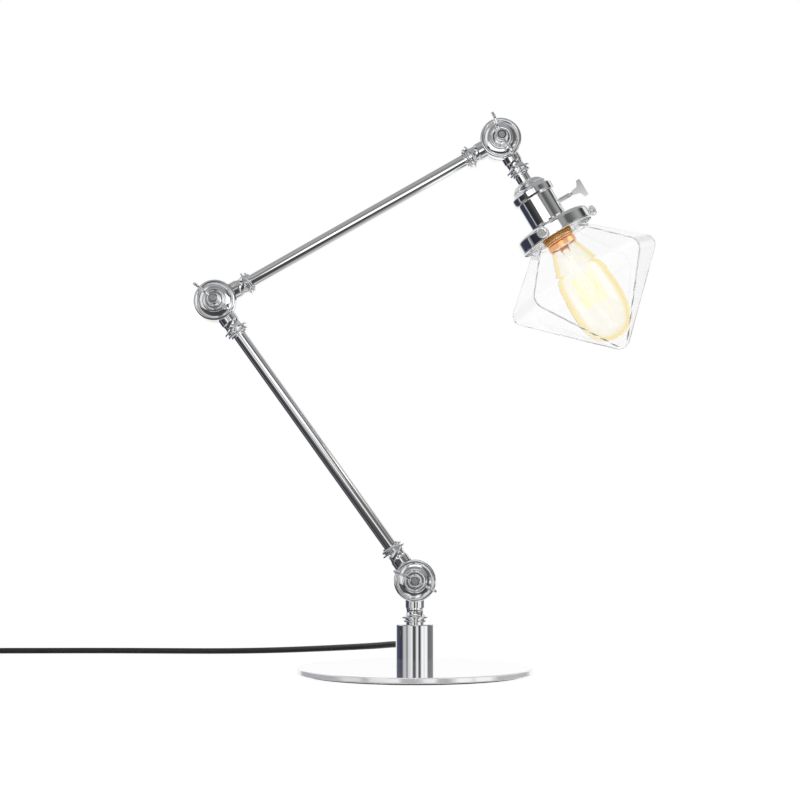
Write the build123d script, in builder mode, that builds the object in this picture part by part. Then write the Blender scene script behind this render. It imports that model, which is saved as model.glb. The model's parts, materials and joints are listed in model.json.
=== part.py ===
from build123d import *
import math
import os

os.makedirs("parts", exist_ok=True)

# Base: pad, plate and stem
PAD_DIAMETER = 196.0
PAD_THICKNESS = 1.5
PLATE_DIAMETER = 210.0
PLATE_THICKNESS = 5.0
PLATE_EDGE_RADIUS = 0.9
STEM_DIAMETER = 34.0
STEM_HEIGHT = 38.0
STEM_WALL = 3.0
STEM_ROOF = 5.0
STEM_EDGE_RADIUS = 1.0

# Threaded pipe and the nut under the plate
PIPE_DIAMETER = 10.0
PIPE_WALL = 1.5
PIPE_HOLE_CLEARANCE = 0.2
PIPE_FOOT_GAP = 0.5
TIE_NUT_FLATS = 17.0
TIE_NUT_THICKNESS = 2.7
TIE_NUT_POCKET_DIAMETER = 22.0

# Cord and its bush in the stem
CORD_DIAMETER = 6.0
CORD_EXIT_HEIGHT = 18.5
CORD_EXIT_AZIMUTH = 115.0
CORD_INNER_END = 9.0
CORD_STRAIGHT_END = 32.0
CORD_BEND_SHARE = 0.45
BUSH_DIAMETER = 10.0
BUSH_FLANGE_DIAMETER = 13.2
BUSH_PROUD = 2.6
BUSH_CLEARANCE = 0.05
WIRE_DIAMETER = 1.8
WIRE_SPREAD = 1.0

# Arms: pivot to pivot lengths, and directions up from +X
LOWER_ARM = 312.0
UPPER_ARM = 302.0
LOWER_ANGLE = 125.7
UPPER_ANGLE = 30.0
HEAD_ANGLE = -60.0
TUBE_DIAMETER = 12.0
TUBE_WALL = 1.0

# Knuckle discs, heights measured out from the mid-plane of the arms
DISC_DIAMETER = 37.6
MATING_HEIGHT = 0.6
RIM_HEIGHT = 9.6
RIM_WIDTH = 3.2
RIM_CROWN = 0.7
FIELD_DEPTH = 2.0
FIELD_RISE = 1.7
FIELD_BULGE = 0.25
BOSS_DIAMETER = 22.0
BOSS_HEIGHT = 10.6
BOSS_CROWN = 0.6
SEAT_DIAMETER = 16.4
SEAT_HEIGHT = 12.2
SEAT_EDGE_RADIUS = 0.6
CHAMBER_INNER_DIAMETER = 11.0
CHAMBER_OUTER_DIAMETER = 26.0
CHAMBER_DEPTH = 5.0
WASHER_INNER_DIAMETER = 27.0
WASHER_OUTER_DIAMETER = 36.8
WASHER_THICKNESS = 0.9

# Knuckle necks, lengths measured from the pivot
TURNING_CLEARANCE = 0.7
COLLAR_DIAMETER = 17.2
COLLAR_END = 24.0
WAIST_DIAMETER = 15.2
WAIST_DEPTH = 3.2
WAIST_LENGTH = 7.8
WAIST_END_DIAMETER = 19.4
FLANGE_DIAMETER = 23.4
FLANGE_LENGTH = 1.7
GROOVE_DIAMETER = 17.6
GROOVE_LENGTH = 0.9
BEAD_DIAMETER = 20.6
BEAD_LENGTH = 2.8
NECK_END_DIAMETER = 16.0
NECK_END_LENGTH = 1.3
SOCKET_DEPTH = 10.0
WIRE_BORE_DIAMETER = 5.0
WIRE_END = 20.5

# Pivot bolt and wing nut
BOLT_DIAMETER = 6.0
BOLT_PRESS_CLEARANCE = 0.02
RUNNING_CLEARANCE = 0.05
BODY_GAP = 0.3
BOLT_HEAD_DIAMETER = 13.0
BOLT_HEAD_HEIGHT = 3.2
BOLT_SLOT_WIDTH = 1.6
BOLT_SLOT_DEPTH = 1.4
BOLT_TIP_PROUD = 0.6
NUT_HUB_DIAMETER = 12.8
NUT_TOP_DIAMETER = 9.2
NUT_LENGTH = 8.6
NUT_FOOT_LENGTH = 2.0
WING_SPAN = 42.6
WING_RISE = 15.6
WING_THICKNESS = 2.4
BASE_WING_ANGLE = -25.9
ELBOW_WING_ANGLE = -36.8
HEAD_WING_ANGLE = -64.1

# Lamp holder, lengths along the head
SPACER_DIAMETER = 13.6
SPACER_LENGTH = 7.2
HEAD_PIPE_PROUD = 6.3
LOCK_NUT_FLATS = 14.0
LOCK_NUT_THICKNESS = 3.0
CAP_WALL = 1.2
CAP_DIAMETER = 40.6
CAP_LENGTH = 18.0
HOLDER_DIAMETER = 35.4
HOLDER_WALL = 0.8
HOLDER_LENGTH = 29.9
HOLDER_IN_CAP = 5.0
LINER_THICKNESS = 0.5
LINER_FIT = 0.05
CORE_LENGTH = 20.0
CORE_NOSE_LENGTH = 2.0
TERMINAL_SPREAD = 8.0
TERMINAL_HEAD_DIAMETER = 5.0
TERMINAL_HEAD_HEIGHT = 2.0
TERMINAL_SHANK_DIAMETER = 2.5
TERMINAL_SHANK_LENGTH = 6.0
SHELL_DIAMETER = 28.6
SHELL_WALL = 0.8
SHELL_PROUD = 20.0
CONTACT_DIAMETER = 8.0
CONTACT_LENGTH = 3.5

# Turn key on the side of the holder
KEY_STATION = 17.8
KEY_SHAFT_DIAMETER = 4.0
KEY_SHAFT_START = 6.0
KEY_SLEEVE_DIAMETER = 4.8
KEY_SLEEVE_END = 29.0
KEY_NECK_DIAMETER = 3.2
KEY_NECK_END = 32.5
KEY_BAR_THICKNESS = 3.4
KEY_BAR_LENGTH = 17.0
KEY_TIP = 44.5
KEY_HOLE_DIAMETER = 6.0

# Gallery, its clamping ring and thumb screws
GALLERY_WALL = 1.2
GALLERY_DIAMETER = 72.4
GALLERY_FLAT_DIAMETER = 39.0
GALLERY_DROP = 3.8
GALLERY_DEPTH = 16.4
GALLERY_SHOULDER_RADIUS = 4.0
GALLERY_BEAD = 0.8
GALLERY_HOLE_CLEARANCE = 0.4
RING_DIAMETER = 38.0
RING_THICKNESS = 3.0
THUMB_STATION = 10.4
THUMB_AZIMUTHS = (115.0, -5.0, 235.0)
THUMB_SHANK_DIAMETER = 4.0
THUMB_HEAD_DIAMETER = 10.4
THUMB_HEAD_START = 2.8
THUMB_HEAD_LENGTH = 4.4

# Glass shade, an eight-sided diamond closed at its tip
GLASS_WALL = 2.2
GLASS_NECK_DIAMETER = 57.0
GLASS_NECK_WALL = 2.5
GLASS_LIP_DIAMETER = 63.0
GLASS_LIP_LENGTH = 6.6
GIRDLE_DIAMETER = 157.0
DIAMOND_TOP = 18.2
DIAMOND_GIRDLE = 62.4
DIAMOND_TIP = 139.4
GIRDLE_RADIUS = 10.0
TIP_RADIUS = 9.0
SIDES = 8
CORNER_AZIMUTH = 5.0

# Bulb, lengths from the foot of its contact
BULB_DIAMETER = 50.8
BULB_NECK_DIAMETER = 24.8
BULB_GLASS_WALL = 0.8
BULB_CAP_DIAMETER = 26.4
BULB_CAP_WALL = 0.5
BULB_CONTACT_DIAMETER = 9.0
BULB_CONTACT_LENGTH = 1.5
BULB_CAP_LENGTH = 26.5
BULB_CAP_RIDGES = 5
BULB_COLLAR_DIAMETER = 26.8
BULB_COLLAR_LENGTH = 4.5
BULB_NECK_START = 23.0
BULB_SHOULDER = 52.0
BULB_SHOULDER_SHARE = 0.87
BULB_SIDE_SHARE = 0.974
BULB_WIDEST = 87.0
BULB_SIDE_RADIUS = 56.0
BULB_TIP = 123.0
MOUNT_DIAMETER = 6.4
MOUNT_TIP = 70.0
FILAMENT_DIAMETER = 0.5
FILAMENT_CAGE_DIAMETER = 20.0
FILAMENT_LOW = 44.0
FILAMENT_HIGH = 100.0
FILAMENT_STRANDS = 14

# Tied coil of spare cord, and the plug
COIL_CENTRE_X = -472.0
COIL_CENTRE_Y = 178.0
COIL_START_AZIMUTH = 100.0
COIL_RADIUS = 41.5
COIL_APPROACH = 40.0
COIL_PITCH = 6.8
COIL_LAYER_GAP = 0.9
COIL_FLOOR_GAP = 0.8
COIL_QUARTERS_IN = 12
COIL_QUARTERS_OUT = 11
TAIL_LENGTH = 62.0
TIE_WIDTH = 5.0
TIE_THICKNESS = 0.6
TIE_CORNER = 3.0
TIE_AZIMUTH = 300.0
PLUG_WIDTH = 35.0
PLUG_THICKNESS = 13.7
PLUG_LENGTH = 36.0
PLUG_PIN_SPREAD = 19.0
PLUG_PIN_DIAMETER = 4.0
PLUG_PIN_LENGTH = 19.0
PLUG_FLOOR_GAP = 0.05

# Points of the cord on its way from the stem to the coil
CORD_ROUTE = [
    (-34.0, 65.0, 20.6),
    (-63.0, 106.0, 16.2),
    (-101.0, 149.0, 11.4),
    (-147.0, 188.0, 7.0),
    (-201.0, 216.0, 4.2),
    (-262.0, 230.5, 3.4),
    (-328.0, 234.5, 3.4),
    (-394.0, 231.0, 3.5),
]

FRONT = -1
REAR = 1


def direction(angle):
    return Vector(math.cos(math.radians(angle)), 0, math.sin(math.radians(angle)))


# Sketch x is the distance from the line, sketch y runs along it.
def axis_plane(origin, angle):
    way = direction(angle)
    return Plane(origin=origin, x_dir=(way.Z, 0, -way.X), z_dir=(0, -1, 0))


def cross_plane(origin, angle, distance):
    way = direction(angle)
    return Plane(origin=origin + way * distance, x_dir=(0, 1, 0), z_dir=way)


# Sketch x is the distance from the pivot line, sketch y runs out from the mid-plane.
def pivot_plane(pivot, side):
    return Plane(origin=pivot, x_dir=(1, 0, 0), z_dir=(0, 0, side))


def disc_plane(pivot, side, height):
    return Plane(origin=pivot + Vector(0, side * height, 0), x_dir=(1, 0, 0), z_dir=(0, side, 0))


def wing_plane(pivot, angle):
    way = direction(angle)
    return Plane(origin=pivot, x_dir=way, z_dir=(way.Z, 0, -way.X))


def save(part, name):
    part.label = name
    export_step(part, "parts/" + name + ".step")


# Places that the pieces share
plate_top = PAD_THICKNESS + PLATE_THICKNESS
stem_top = plate_top + STEM_HEIGHT
neck_flange_start = COLLAR_END + WAIST_LENGTH
neck_groove_start = neck_flange_start + FLANGE_LENGTH
neck_bead_start = neck_groove_start + GROOVE_LENGTH
neck_bead_end = neck_bead_start + BEAD_LENGTH
neck_length = neck_bead_end + NECK_END_LENGTH
socket_floor = neck_length - SOCKET_DEPTH
disc_radius = DISC_DIAMETER / 2
rim_inner = disc_radius - RIM_WIDTH
rim_middle = disc_radius - RIM_WIDTH / 2
rim_edge = RIM_HEIGHT - RIM_CROWN
field_edge = RIM_HEIGHT - FIELD_DEPTH
field_top = field_edge + FIELD_RISE
boss_edge = BOSS_HEIGHT - BOSS_CROWN
boss_radius = BOSS_DIAMETER / 2
seat_radius = SEAT_DIAMETER / 2
bolt_radius = BOLT_DIAMETER / 2
pipe_radius = PIPE_DIAMETER / 2
base_pivot = Vector(0, 0, stem_top + neck_length)
elbow_pivot = base_pivot + direction(LOWER_ANGLE) * LOWER_ARM
head_pivot = elbow_pivot + direction(UPPER_ANGLE) * UPPER_ARM
exit_way = Vector(math.cos(math.radians(CORD_EXIT_AZIMUTH)), math.sin(math.radians(CORD_EXIT_AZIMUTH)), 0)
exit_height = plate_top + CORD_EXIT_HEIGHT
exit_origin = Vector(0, 0, exit_height)

# Pad under the plate
with BuildPart() as base_pad:
    with BuildSketch():
        Circle(PAD_DIAMETER / 2)
    extrude(amount=PAD_THICKNESS)
save(base_pad.part, "base_pad")

# Base plate with the pocket for the nut
tie_pocket_depth = PIPE_FOOT_GAP + TIE_NUT_THICKNESS
pipe_hole = pipe_radius + PIPE_HOLE_CLEARANCE
with BuildPart() as base_plate:
    with BuildSketch(Plane.XZ):
        with BuildLine():
            FilletPolyline(
                (pipe_hole, plate_top),
                (PLATE_DIAMETER / 2, plate_top),
                (PLATE_DIAMETER / 2, PAD_THICKNESS),
                (TIE_NUT_POCKET_DIAMETER / 2, PAD_THICKNESS),
                (TIE_NUT_POCKET_DIAMETER / 2, PAD_THICKNESS + tie_pocket_depth),
                (pipe_hole, PAD_THICKNESS + tie_pocket_depth),
                radius=[0, PLATE_EDGE_RADIUS, PLATE_EDGE_RADIUS, 0, 0, 0],
                close=True,
            )
        make_face()
    revolve(axis=Axis.Z)
save(base_plate.part, "base_plate")

# Stem, a cup turned upside down, with the hole for the bush
with BuildPart() as stem:
    with BuildSketch(Plane.XZ):
        with BuildLine():
            FilletPolyline(
                (pipe_hole, stem_top),
                (STEM_DIAMETER / 2, stem_top),
                (STEM_DIAMETER / 2, plate_top),
                (STEM_DIAMETER / 2 - STEM_WALL, plate_top),
                (STEM_DIAMETER / 2 - STEM_WALL, stem_top - STEM_ROOF),
                (pipe_hole, stem_top - STEM_ROOF),
                radius=[0, STEM_EDGE_RADIUS, 0, 0, 1.0, 0],
                close=True,
            )
        make_face()
    revolve(axis=Axis.Z)
    with BuildSketch(Plane(origin=exit_origin, x_dir=(0, 0, 1), z_dir=exit_way)):
        Circle(BUSH_DIAMETER / 2)
    extrude(amount=STEM_DIAMETER, mode=Mode.SUBTRACT)
save(stem.part, "stem")

# Threaded pipe through plate, stem and base knuckle, slotted for the wires
pipe_foot = PAD_THICKNESS + PIPE_FOOT_GAP
with BuildPart() as tie_pipe:
    with BuildSketch(Plane.XY.offset(pipe_foot)):
        Circle(pipe_radius)
        Circle(pipe_radius - PIPE_WALL, mode=Mode.SUBTRACT)
    extrude(amount=stem_top + SOCKET_DEPTH - pipe_foot)
    with BuildSketch(Plane(origin=exit_origin, x_dir=(0, 0, 1), z_dir=exit_way)):
        SlotOverall(12.0, 5.0)
    extrude(amount=PIPE_DIAMETER, mode=Mode.SUBTRACT)
save(tie_pipe.part, "tie_pipe")

with BuildPart() as tie_nut:
    with BuildSketch(Plane.XY.offset(pipe_foot)):
        RegularPolygon(radius=TIE_NUT_FLATS / 2, side_count=6, major_radius=False)
        Circle(pipe_radius, mode=Mode.SUBTRACT)
    extrude(amount=TIE_NUT_THICKNESS)
save(tie_nut.part, "tie_nut")

# Bush where the cord leaves the stem, its flange shaped to the round stem
cord_radius = CORD_DIAMETER / 2
bush_bore = cord_radius + BUSH_CLEARANCE
bush_outer_end = STEM_DIAMETER / 2 + BUSH_PROUD
bush_inner_end = STEM_DIAMETER / 2 - STEM_WALL - 1.0
exit_plane = Plane(origin=exit_origin, x_dir=(0, 0, 1), z_dir=exit_way)
with BuildPart() as cord_grommet:
    with BuildSketch(exit_plane.offset(STEM_DIAMETER / 2 - 2.0)):
        Circle(BUSH_FLANGE_DIAMETER / 2)
    extrude(amount=BUSH_PROUD + 2.0)
    fillet(cord_grommet.faces().sort_by(Axis(exit_origin, exit_way))[-1].edges(), 0.8)
    Cylinder(STEM_DIAMETER / 2, 4 * stem_top, mode=Mode.SUBTRACT)
    with BuildSketch(exit_plane.offset(bush_inner_end)):
        Circle(BUSH_DIAMETER / 2)
    extrude(amount=bush_outer_end - bush_inner_end - 1.0)
    with BuildSketch(exit_plane):
        Circle(bush_bore)
    extrude(amount=STEM_DIAMETER, mode=Mode.SUBTRACT)
save(cord_grommet.part, "cord_grommet")

# Two wires from the end of the cord up the pipe to the base knuckle
wire_radius = WIRE_DIAMETER / 2
wire_side = Vector(-exit_way.Y, exit_way.X, 0)
with BuildPart() as supply_wires:
    for hand in (-1, 1):
        shift = wire_side * (hand * WIRE_SPREAD)
        with BuildLine() as wire_path:
            FilletPolyline(
                exit_origin + exit_way * CORD_INNER_END + shift,
                exit_origin + shift,
                base_pivot - Vector(0, 0, WIRE_END) + shift,
                radius=[5.0],
            )
        with BuildSketch(Plane(origin=wire_path.line @ 0, z_dir=wire_path.line % 0)):
            Circle(wire_radius)
        sweep(path=wire_path.line)
save(supply_wires.part, "supply_wires")


# One half of a knuckle: a disc on the pivot and a turned neck with a socket
def knuckle_half(pivot, side, neck_angle, socket_diameter, bolt_clearance):
    with BuildPart() as half:
        with BuildSketch(axis_plane(pivot, neck_angle)):
            with BuildLine():
                Polyline(
                    (0, neck_length),
                    (0, rim_middle),
                    (COLLAR_DIAMETER / 2, rim_middle),
                    (COLLAR_DIAMETER / 2, COLLAR_END),
                )
                ThreePointArc(
                    (COLLAR_DIAMETER / 2, COLLAR_END),
                    (WAIST_DIAMETER / 2, COLLAR_END + WAIST_DEPTH),
                    (WAIST_END_DIAMETER / 2, neck_flange_start),
                )
                FilletPolyline(
                    (WAIST_END_DIAMETER / 2, neck_flange_start),
                    (FLANGE_DIAMETER / 2, neck_flange_start),
                    (FLANGE_DIAMETER / 2, neck_groove_start),
                    (GROOVE_DIAMETER / 2, neck_groove_start),
                    (GROOVE_DIAMETER / 2, neck_bead_start),
                    radius=[0.5, 0.5, 0],
                )
                ThreePointArc(
                    (GROOVE_DIAMETER / 2, neck_bead_start),
                    (BEAD_DIAMETER / 2, (neck_bead_start + neck_bead_end) / 2),
                    (GROOVE_DIAMETER / 2, neck_bead_end),
                )
                Polyline(
                    (GROOVE_DIAMETER / 2, neck_bead_end),
                    (NECK_END_DIAMETER / 2, neck_bead_end),
                    (NECK_END_DIAMETER / 2, neck_length),
                    (0, neck_length),
                )
            make_face()
        revolve(axis=Axis(pivot, direction(neck_angle)))
        # Room for the disc of the other half
        with BuildSketch(disc_plane(pivot, side, MATING_HEIGHT)):
            Circle(disc_radius + TURNING_CLEARANCE)
        extrude(amount=-FLANGE_DIAMETER, mode=Mode.SUBTRACT)
        with BuildSketch(pivot_plane(pivot, side)):
            with BuildLine():
                Polyline(
                    (bolt_radius + bolt_clearance, SEAT_HEIGHT),
                    (bolt_radius + bolt_clearance, MATING_HEIGHT),
                    (CHAMBER_INNER_DIAMETER / 2, MATING_HEIGHT),
                    (CHAMBER_INNER_DIAMETER / 2, MATING_HEIGHT + CHAMBER_DEPTH),
                    (CHAMBER_OUTER_DIAMETER / 2, MATING_HEIGHT + CHAMBER_DEPTH),
                    (CHAMBER_OUTER_DIAMETER / 2, MATING_HEIGHT),
                    (disc_radius, MATING_HEIGHT),
                    (disc_radius, rim_edge),
                )
                # Rounded rim, domed field and rounded boss
                ThreePointArc(
                    (disc_radius, rim_edge),
                    (rim_middle, RIM_HEIGHT),
                    (rim_inner, rim_edge),
                )
                Line((rim_inner, rim_edge), (rim_inner, field_edge))
                ThreePointArc(
                    (rim_inner, field_edge),
                    ((rim_inner + boss_radius) / 2, (field_edge + field_top) / 2 + FIELD_BULGE),
                    (boss_radius, field_top),
                )
                Line((boss_radius, field_top), (boss_radius, boss_edge))
                ThreePointArc(
                    (boss_radius, boss_edge),
                    ((boss_radius + seat_radius) / 2, BOSS_HEIGHT),
                    (seat_radius, boss_edge),
                )
                FilletPolyline(
                    (seat_radius, boss_edge),
                    (seat_radius, SEAT_HEIGHT),
                    (bolt_radius + bolt_clearance, SEAT_HEIGHT),
                    radius=SEAT_EDGE_RADIUS,
                )
            make_face()
        revolve(axis=Axis(pivot, (0, 1, 0)))
        with BuildSketch(cross_plane(pivot, neck_angle, socket_floor)):
            Circle(socket_diameter / 2)
        extrude(amount=SOCKET_DEPTH, mode=Mode.SUBTRACT)
        with BuildSketch(cross_plane(pivot, neck_angle, CHAMBER_OUTER_DIAMETER / 2 - 1.0)):
            Circle(WIRE_BORE_DIAMETER / 2)
        extrude(amount=socket_floor - CHAMBER_OUTER_DIAMETER / 2 + 1.0, mode=Mode.SUBTRACT)
    return half.part


# Washer between the two discs, resting on the front one
def knuckle_washer(pivot):
    with BuildPart() as washer:
        with BuildSketch(disc_plane(pivot, REAR, -MATING_HEIGHT)):
            Circle(WASHER_OUTER_DIAMETER / 2)
            Circle(WASHER_INNER_DIAMETER / 2, mode=Mode.SUBTRACT)
        extrude(amount=WASHER_THICKNESS)
    return washer.part


# Pivot bolt: slotted round head at the rear, plain shank to the wing nut
nut_start = SEAT_HEIGHT + BODY_GAP
nut_end = nut_start + NUT_LENGTH
bolt_end = nut_end + BOLT_TIP_PROUD


def knuckle_bolt(pivot):
    with BuildPart() as bolt:
        with BuildSketch(pivot_plane(pivot, REAR)):
            with BuildLine():
                FilletPolyline(
                    (0, -bolt_end),
                    (bolt_radius, -bolt_end),
                    (bolt_radius, SEAT_HEIGHT),
                    (BOLT_HEAD_DIAMETER / 2, SEAT_HEIGHT),
                    (BOLT_HEAD_DIAMETER / 2, SEAT_HEIGHT + BOLT_HEAD_HEIGHT),
                    (0, SEAT_HEIGHT + BOLT_HEAD_HEIGHT),
                    radius=[0, 0.6, 0, 0, 0.6 * BOLT_HEAD_HEIGHT, 0],
                    close=True,
                )
            make_face()
        revolve(axis=Axis(pivot, (0, 1, 0)))
        with BuildSketch(disc_plane(pivot, REAR, SEAT_HEIGHT + BOLT_HEAD_HEIGHT)):
            Rectangle(2 * BOLT_HEAD_DIAMETER, BOLT_SLOT_WIDTH)
        extrude(amount=-BOLT_SLOT_DEPTH, mode=Mode.SUBTRACT)
    return bolt.part


# Wing nut: tapered hub with two upswept wings
def wing_nut(pivot, wing_angle):
    with BuildPart() as nut:
        tip = WING_SPAN / 2
        root = nut_start + 1.2
        for turn in (0, 180):
            with BuildSketch(wing_plane(pivot, wing_angle + turn)):
                with BuildLine():
                    FilletPolyline(
                        (bolt_radius + 0.8, root),
                        (0.42 * tip, root),
                        (0.82 * tip, root + 0.34 * WING_RISE),
                        (tip, root + 0.62 * WING_RISE),
                        (tip, root + 0.9 * WING_RISE),
                        (0.72 * tip, root + WING_RISE - 1.0),
                        (0.44 * tip, root + 0.5 * WING_RISE),
                        (bolt_radius + 0.8, root + 0.42 * WING_RISE),
                        radius=[0, 3.0, 6.0, 3.0, 2.4, 3.2, 4.0, 0],
                        close=True,
                    )
                make_face()
            extrude(amount=WING_THICKNESS / 2, both=True)
        flats = nut.faces().filter_by(Axis(pivot, wing_plane(pivot, wing_angle).z_dir))
        fillet(flats.edges(), 0.7)
        with BuildSketch(pivot_plane(pivot, FRONT)):
            with BuildLine():
                FilletPolyline(
                    (0, nut_start),
                    (NUT_HUB_DIAMETER / 2, nut_start),
                    (NUT_HUB_DIAMETER / 2, nut_start + NUT_FOOT_LENGTH),
                    (NUT_TOP_DIAMETER / 2, nut_end),
                    (0, nut_end),
                    radius=[0, 0.4, 1.0, 0.8, 0],
                    close=True,
                )
            make_face()
        revolve(axis=Axis(pivot, (0, 1, 0)))
        with BuildSketch(disc_plane(pivot, FRONT, 0)):
            Circle(bolt_radius + RUNNING_CLEARANCE)
        extrude(amount=2 * nut_end, mode=Mode.SUBTRACT)
    return nut.part


# Straight tube between two sockets, and the two wires inside it
def arm_tube(start, angle, length):
    with BuildPart() as tube:
        with BuildSketch(cross_plane(start, angle, socket_floor)):
            Circle(TUBE_DIAMETER / 2)
            Circle(TUBE_DIAMETER / 2 - TUBE_WALL, mode=Mode.SUBTRACT)
        extrude(amount=length - 2 * socket_floor)
    return tube.part


wire_drop = math.sqrt((WIRE_BORE_DIAMETER / 2 - wire_radius) ** 2 - WIRE_SPREAD ** 2) - 0.02


def arm_wires(start, angle, length):
    with BuildPart() as wires:
        with BuildSketch(cross_plane(start, angle, WIRE_END)):
            with Locations((-WIRE_SPREAD, wire_drop), (WIRE_SPREAD, wire_drop)):
                Circle(wire_radius)
        extrude(amount=length - 2 * WIRE_END)
    return wires.part


# Base knuckle, lower arm, elbow, upper arm and head knuckle
save(knuckle_half(base_pivot, FRONT, -90, PIPE_DIAMETER, RUNNING_CLEARANCE), "base_knuckle_front")
base_rear = knuckle_half(base_pivot, REAR, LOWER_ANGLE, TUBE_DIAMETER, BOLT_PRESS_CLEARANCE)
save(base_rear, "base_knuckle_rear")
save(knuckle_washer(base_pivot), "base_knuckle_washer")
save(knuckle_bolt(base_pivot), "base_knuckle_bolt")
save(wing_nut(base_pivot, BASE_WING_ANGLE), "base_wing_nut")
save(arm_tube(base_pivot, LOWER_ANGLE, LOWER_ARM), "lower_tube")
save(arm_wires(base_pivot, LOWER_ANGLE, LOWER_ARM), "lower_wires")
save(knuckle_half(elbow_pivot, FRONT, LOWER_ANGLE + 180, TUBE_DIAMETER, RUNNING_CLEARANCE), "elbow_front")
save(knuckle_half(elbow_pivot, REAR, UPPER_ANGLE, TUBE_DIAMETER, BOLT_PRESS_CLEARANCE), "elbow_rear")
save(knuckle_washer(elbow_pivot), "elbow_washer")
save(knuckle_bolt(elbow_pivot), "elbow_bolt")
save(wing_nut(elbow_pivot, ELBOW_WING_ANGLE), "elbow_wing_nut")
save(arm_tube(elbow_pivot, UPPER_ANGLE, UPPER_ARM), "upper_tube")
save(arm_wires(elbow_pivot, UPPER_ANGLE, UPPER_ARM), "upper_wires")
head_front = knuckle_half(head_pivot, FRONT, UPPER_ANGLE + 180, TUBE_DIAMETER, RUNNING_CLEARANCE)
save(head_front, "head_knuckle_front")
save(knuckle_half(head_pivot, REAR, HEAD_ANGLE, PIPE_DIAMETER, BOLT_PRESS_CLEARANCE), "head_knuckle_rear")
save(knuckle_washer(head_pivot), "head_knuckle_washer")
save(knuckle_bolt(head_pivot), "head_knuckle_bolt")
save(wing_nut(head_pivot, HEAD_WING_ANGLE), "head_wing_nut")

# Stations along the head, from its pivot
head_way = direction(HEAD_ANGLE)
head_side = Vector(-head_way.Z, 0, head_way.X)
head_axis = Axis(head_pivot, head_way)
head_plane = axis_plane(head_pivot, HEAD_ANGLE)
cap_top = neck_length + SPACER_LENGTH
cap_end = cap_top + CAP_LENGTH
holder_top = cap_end - HOLDER_IN_CAP
holder_end = holder_top + HOLDER_LENGTH
core_top = cap_end + 0.3
core_end = core_top + CORE_LENGTH
contact_start = core_end + CORE_NOSE_LENGTH
bulb_foot = contact_start + CONTACT_LENGTH
shell_end = holder_end + SHELL_PROUD
key_station = holder_top + KEY_STATION
gallery_inside = holder_end + GALLERY_WALL
thumb_station = holder_end + THUMB_STATION


# A plane through the head's line: sketch x out at an angle round it, sketch y along it.
def radial_plane(azimuth, station):
    toward = Vector(0, -1, 0)
    out = head_side * math.cos(math.radians(azimuth)) + toward * math.sin(math.radians(azimuth))
    return Plane(origin=head_pivot + head_way * station, x_dir=out, z_dir=out.cross(head_way))


# Spacer, threaded pipe and lock nut
with BuildPart() as head_spacer:
    with BuildSketch(cross_plane(head_pivot, HEAD_ANGLE, neck_length)):
        Circle(SPACER_DIAMETER / 2)
        Circle(pipe_hole, mode=Mode.SUBTRACT)
    extrude(amount=SPACER_LENGTH)
    fillet(head_spacer.edges().filter_by(GeomType.CIRCLE).group_by(SortBy.RADIUS)[-1], 0.5)
save(head_spacer.part, "head_spacer")

with BuildPart() as head_pipe:
    with BuildSketch(cross_plane(head_pivot, HEAD_ANGLE, socket_floor)):
        Circle(pipe_radius)
        Circle(pipe_radius - PIPE_WALL, mode=Mode.SUBTRACT)
    extrude(amount=cap_top + HEAD_PIPE_PROUD - socket_floor)
save(head_pipe.part, "head_pipe")

with BuildPart() as pipe_lock_nut:
    with BuildSketch(cross_plane(head_pivot, HEAD_ANGLE, cap_top + CAP_WALL)):
        RegularPolygon(radius=LOCK_NUT_FLATS / 2, side_count=6, major_radius=False)
        Circle(pipe_radius, mode=Mode.SUBTRACT)
    extrude(amount=LOCK_NUT_THICKNESS)
save(pipe_lock_nut.part, "pipe_lock_nut")

# Two wires down the pipe to the terminal screws
terminal_top = core_top - TERMINAL_HEAD_HEIGHT
pipe_end = cap_top + HEAD_PIPE_PROUD
with BuildPart() as head_wires:
    for hand in (-1, 1):
        near = Vector(0, hand * WIRE_SPREAD, 0)
        far = Vector(0, hand * TERMINAL_SPREAD, 0)
        with BuildLine() as wire_path:
            FilletPolyline(
                head_pivot + head_way * WIRE_END + near,
                head_pivot + head_way * (pipe_end + 0.5) + near,
                head_pivot + head_way * (terminal_top - 4.0) + far,
                head_pivot + head_way * terminal_top + far,
                radius=[2.0, 2.0],
            )
        with BuildSketch(Plane(origin=wire_path.line @ 0, z_dir=wire_path.line % 0)):
            Circle(wire_radius)
        sweep(path=wire_path.line)
save(head_wires.part, "head_wires")

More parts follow.
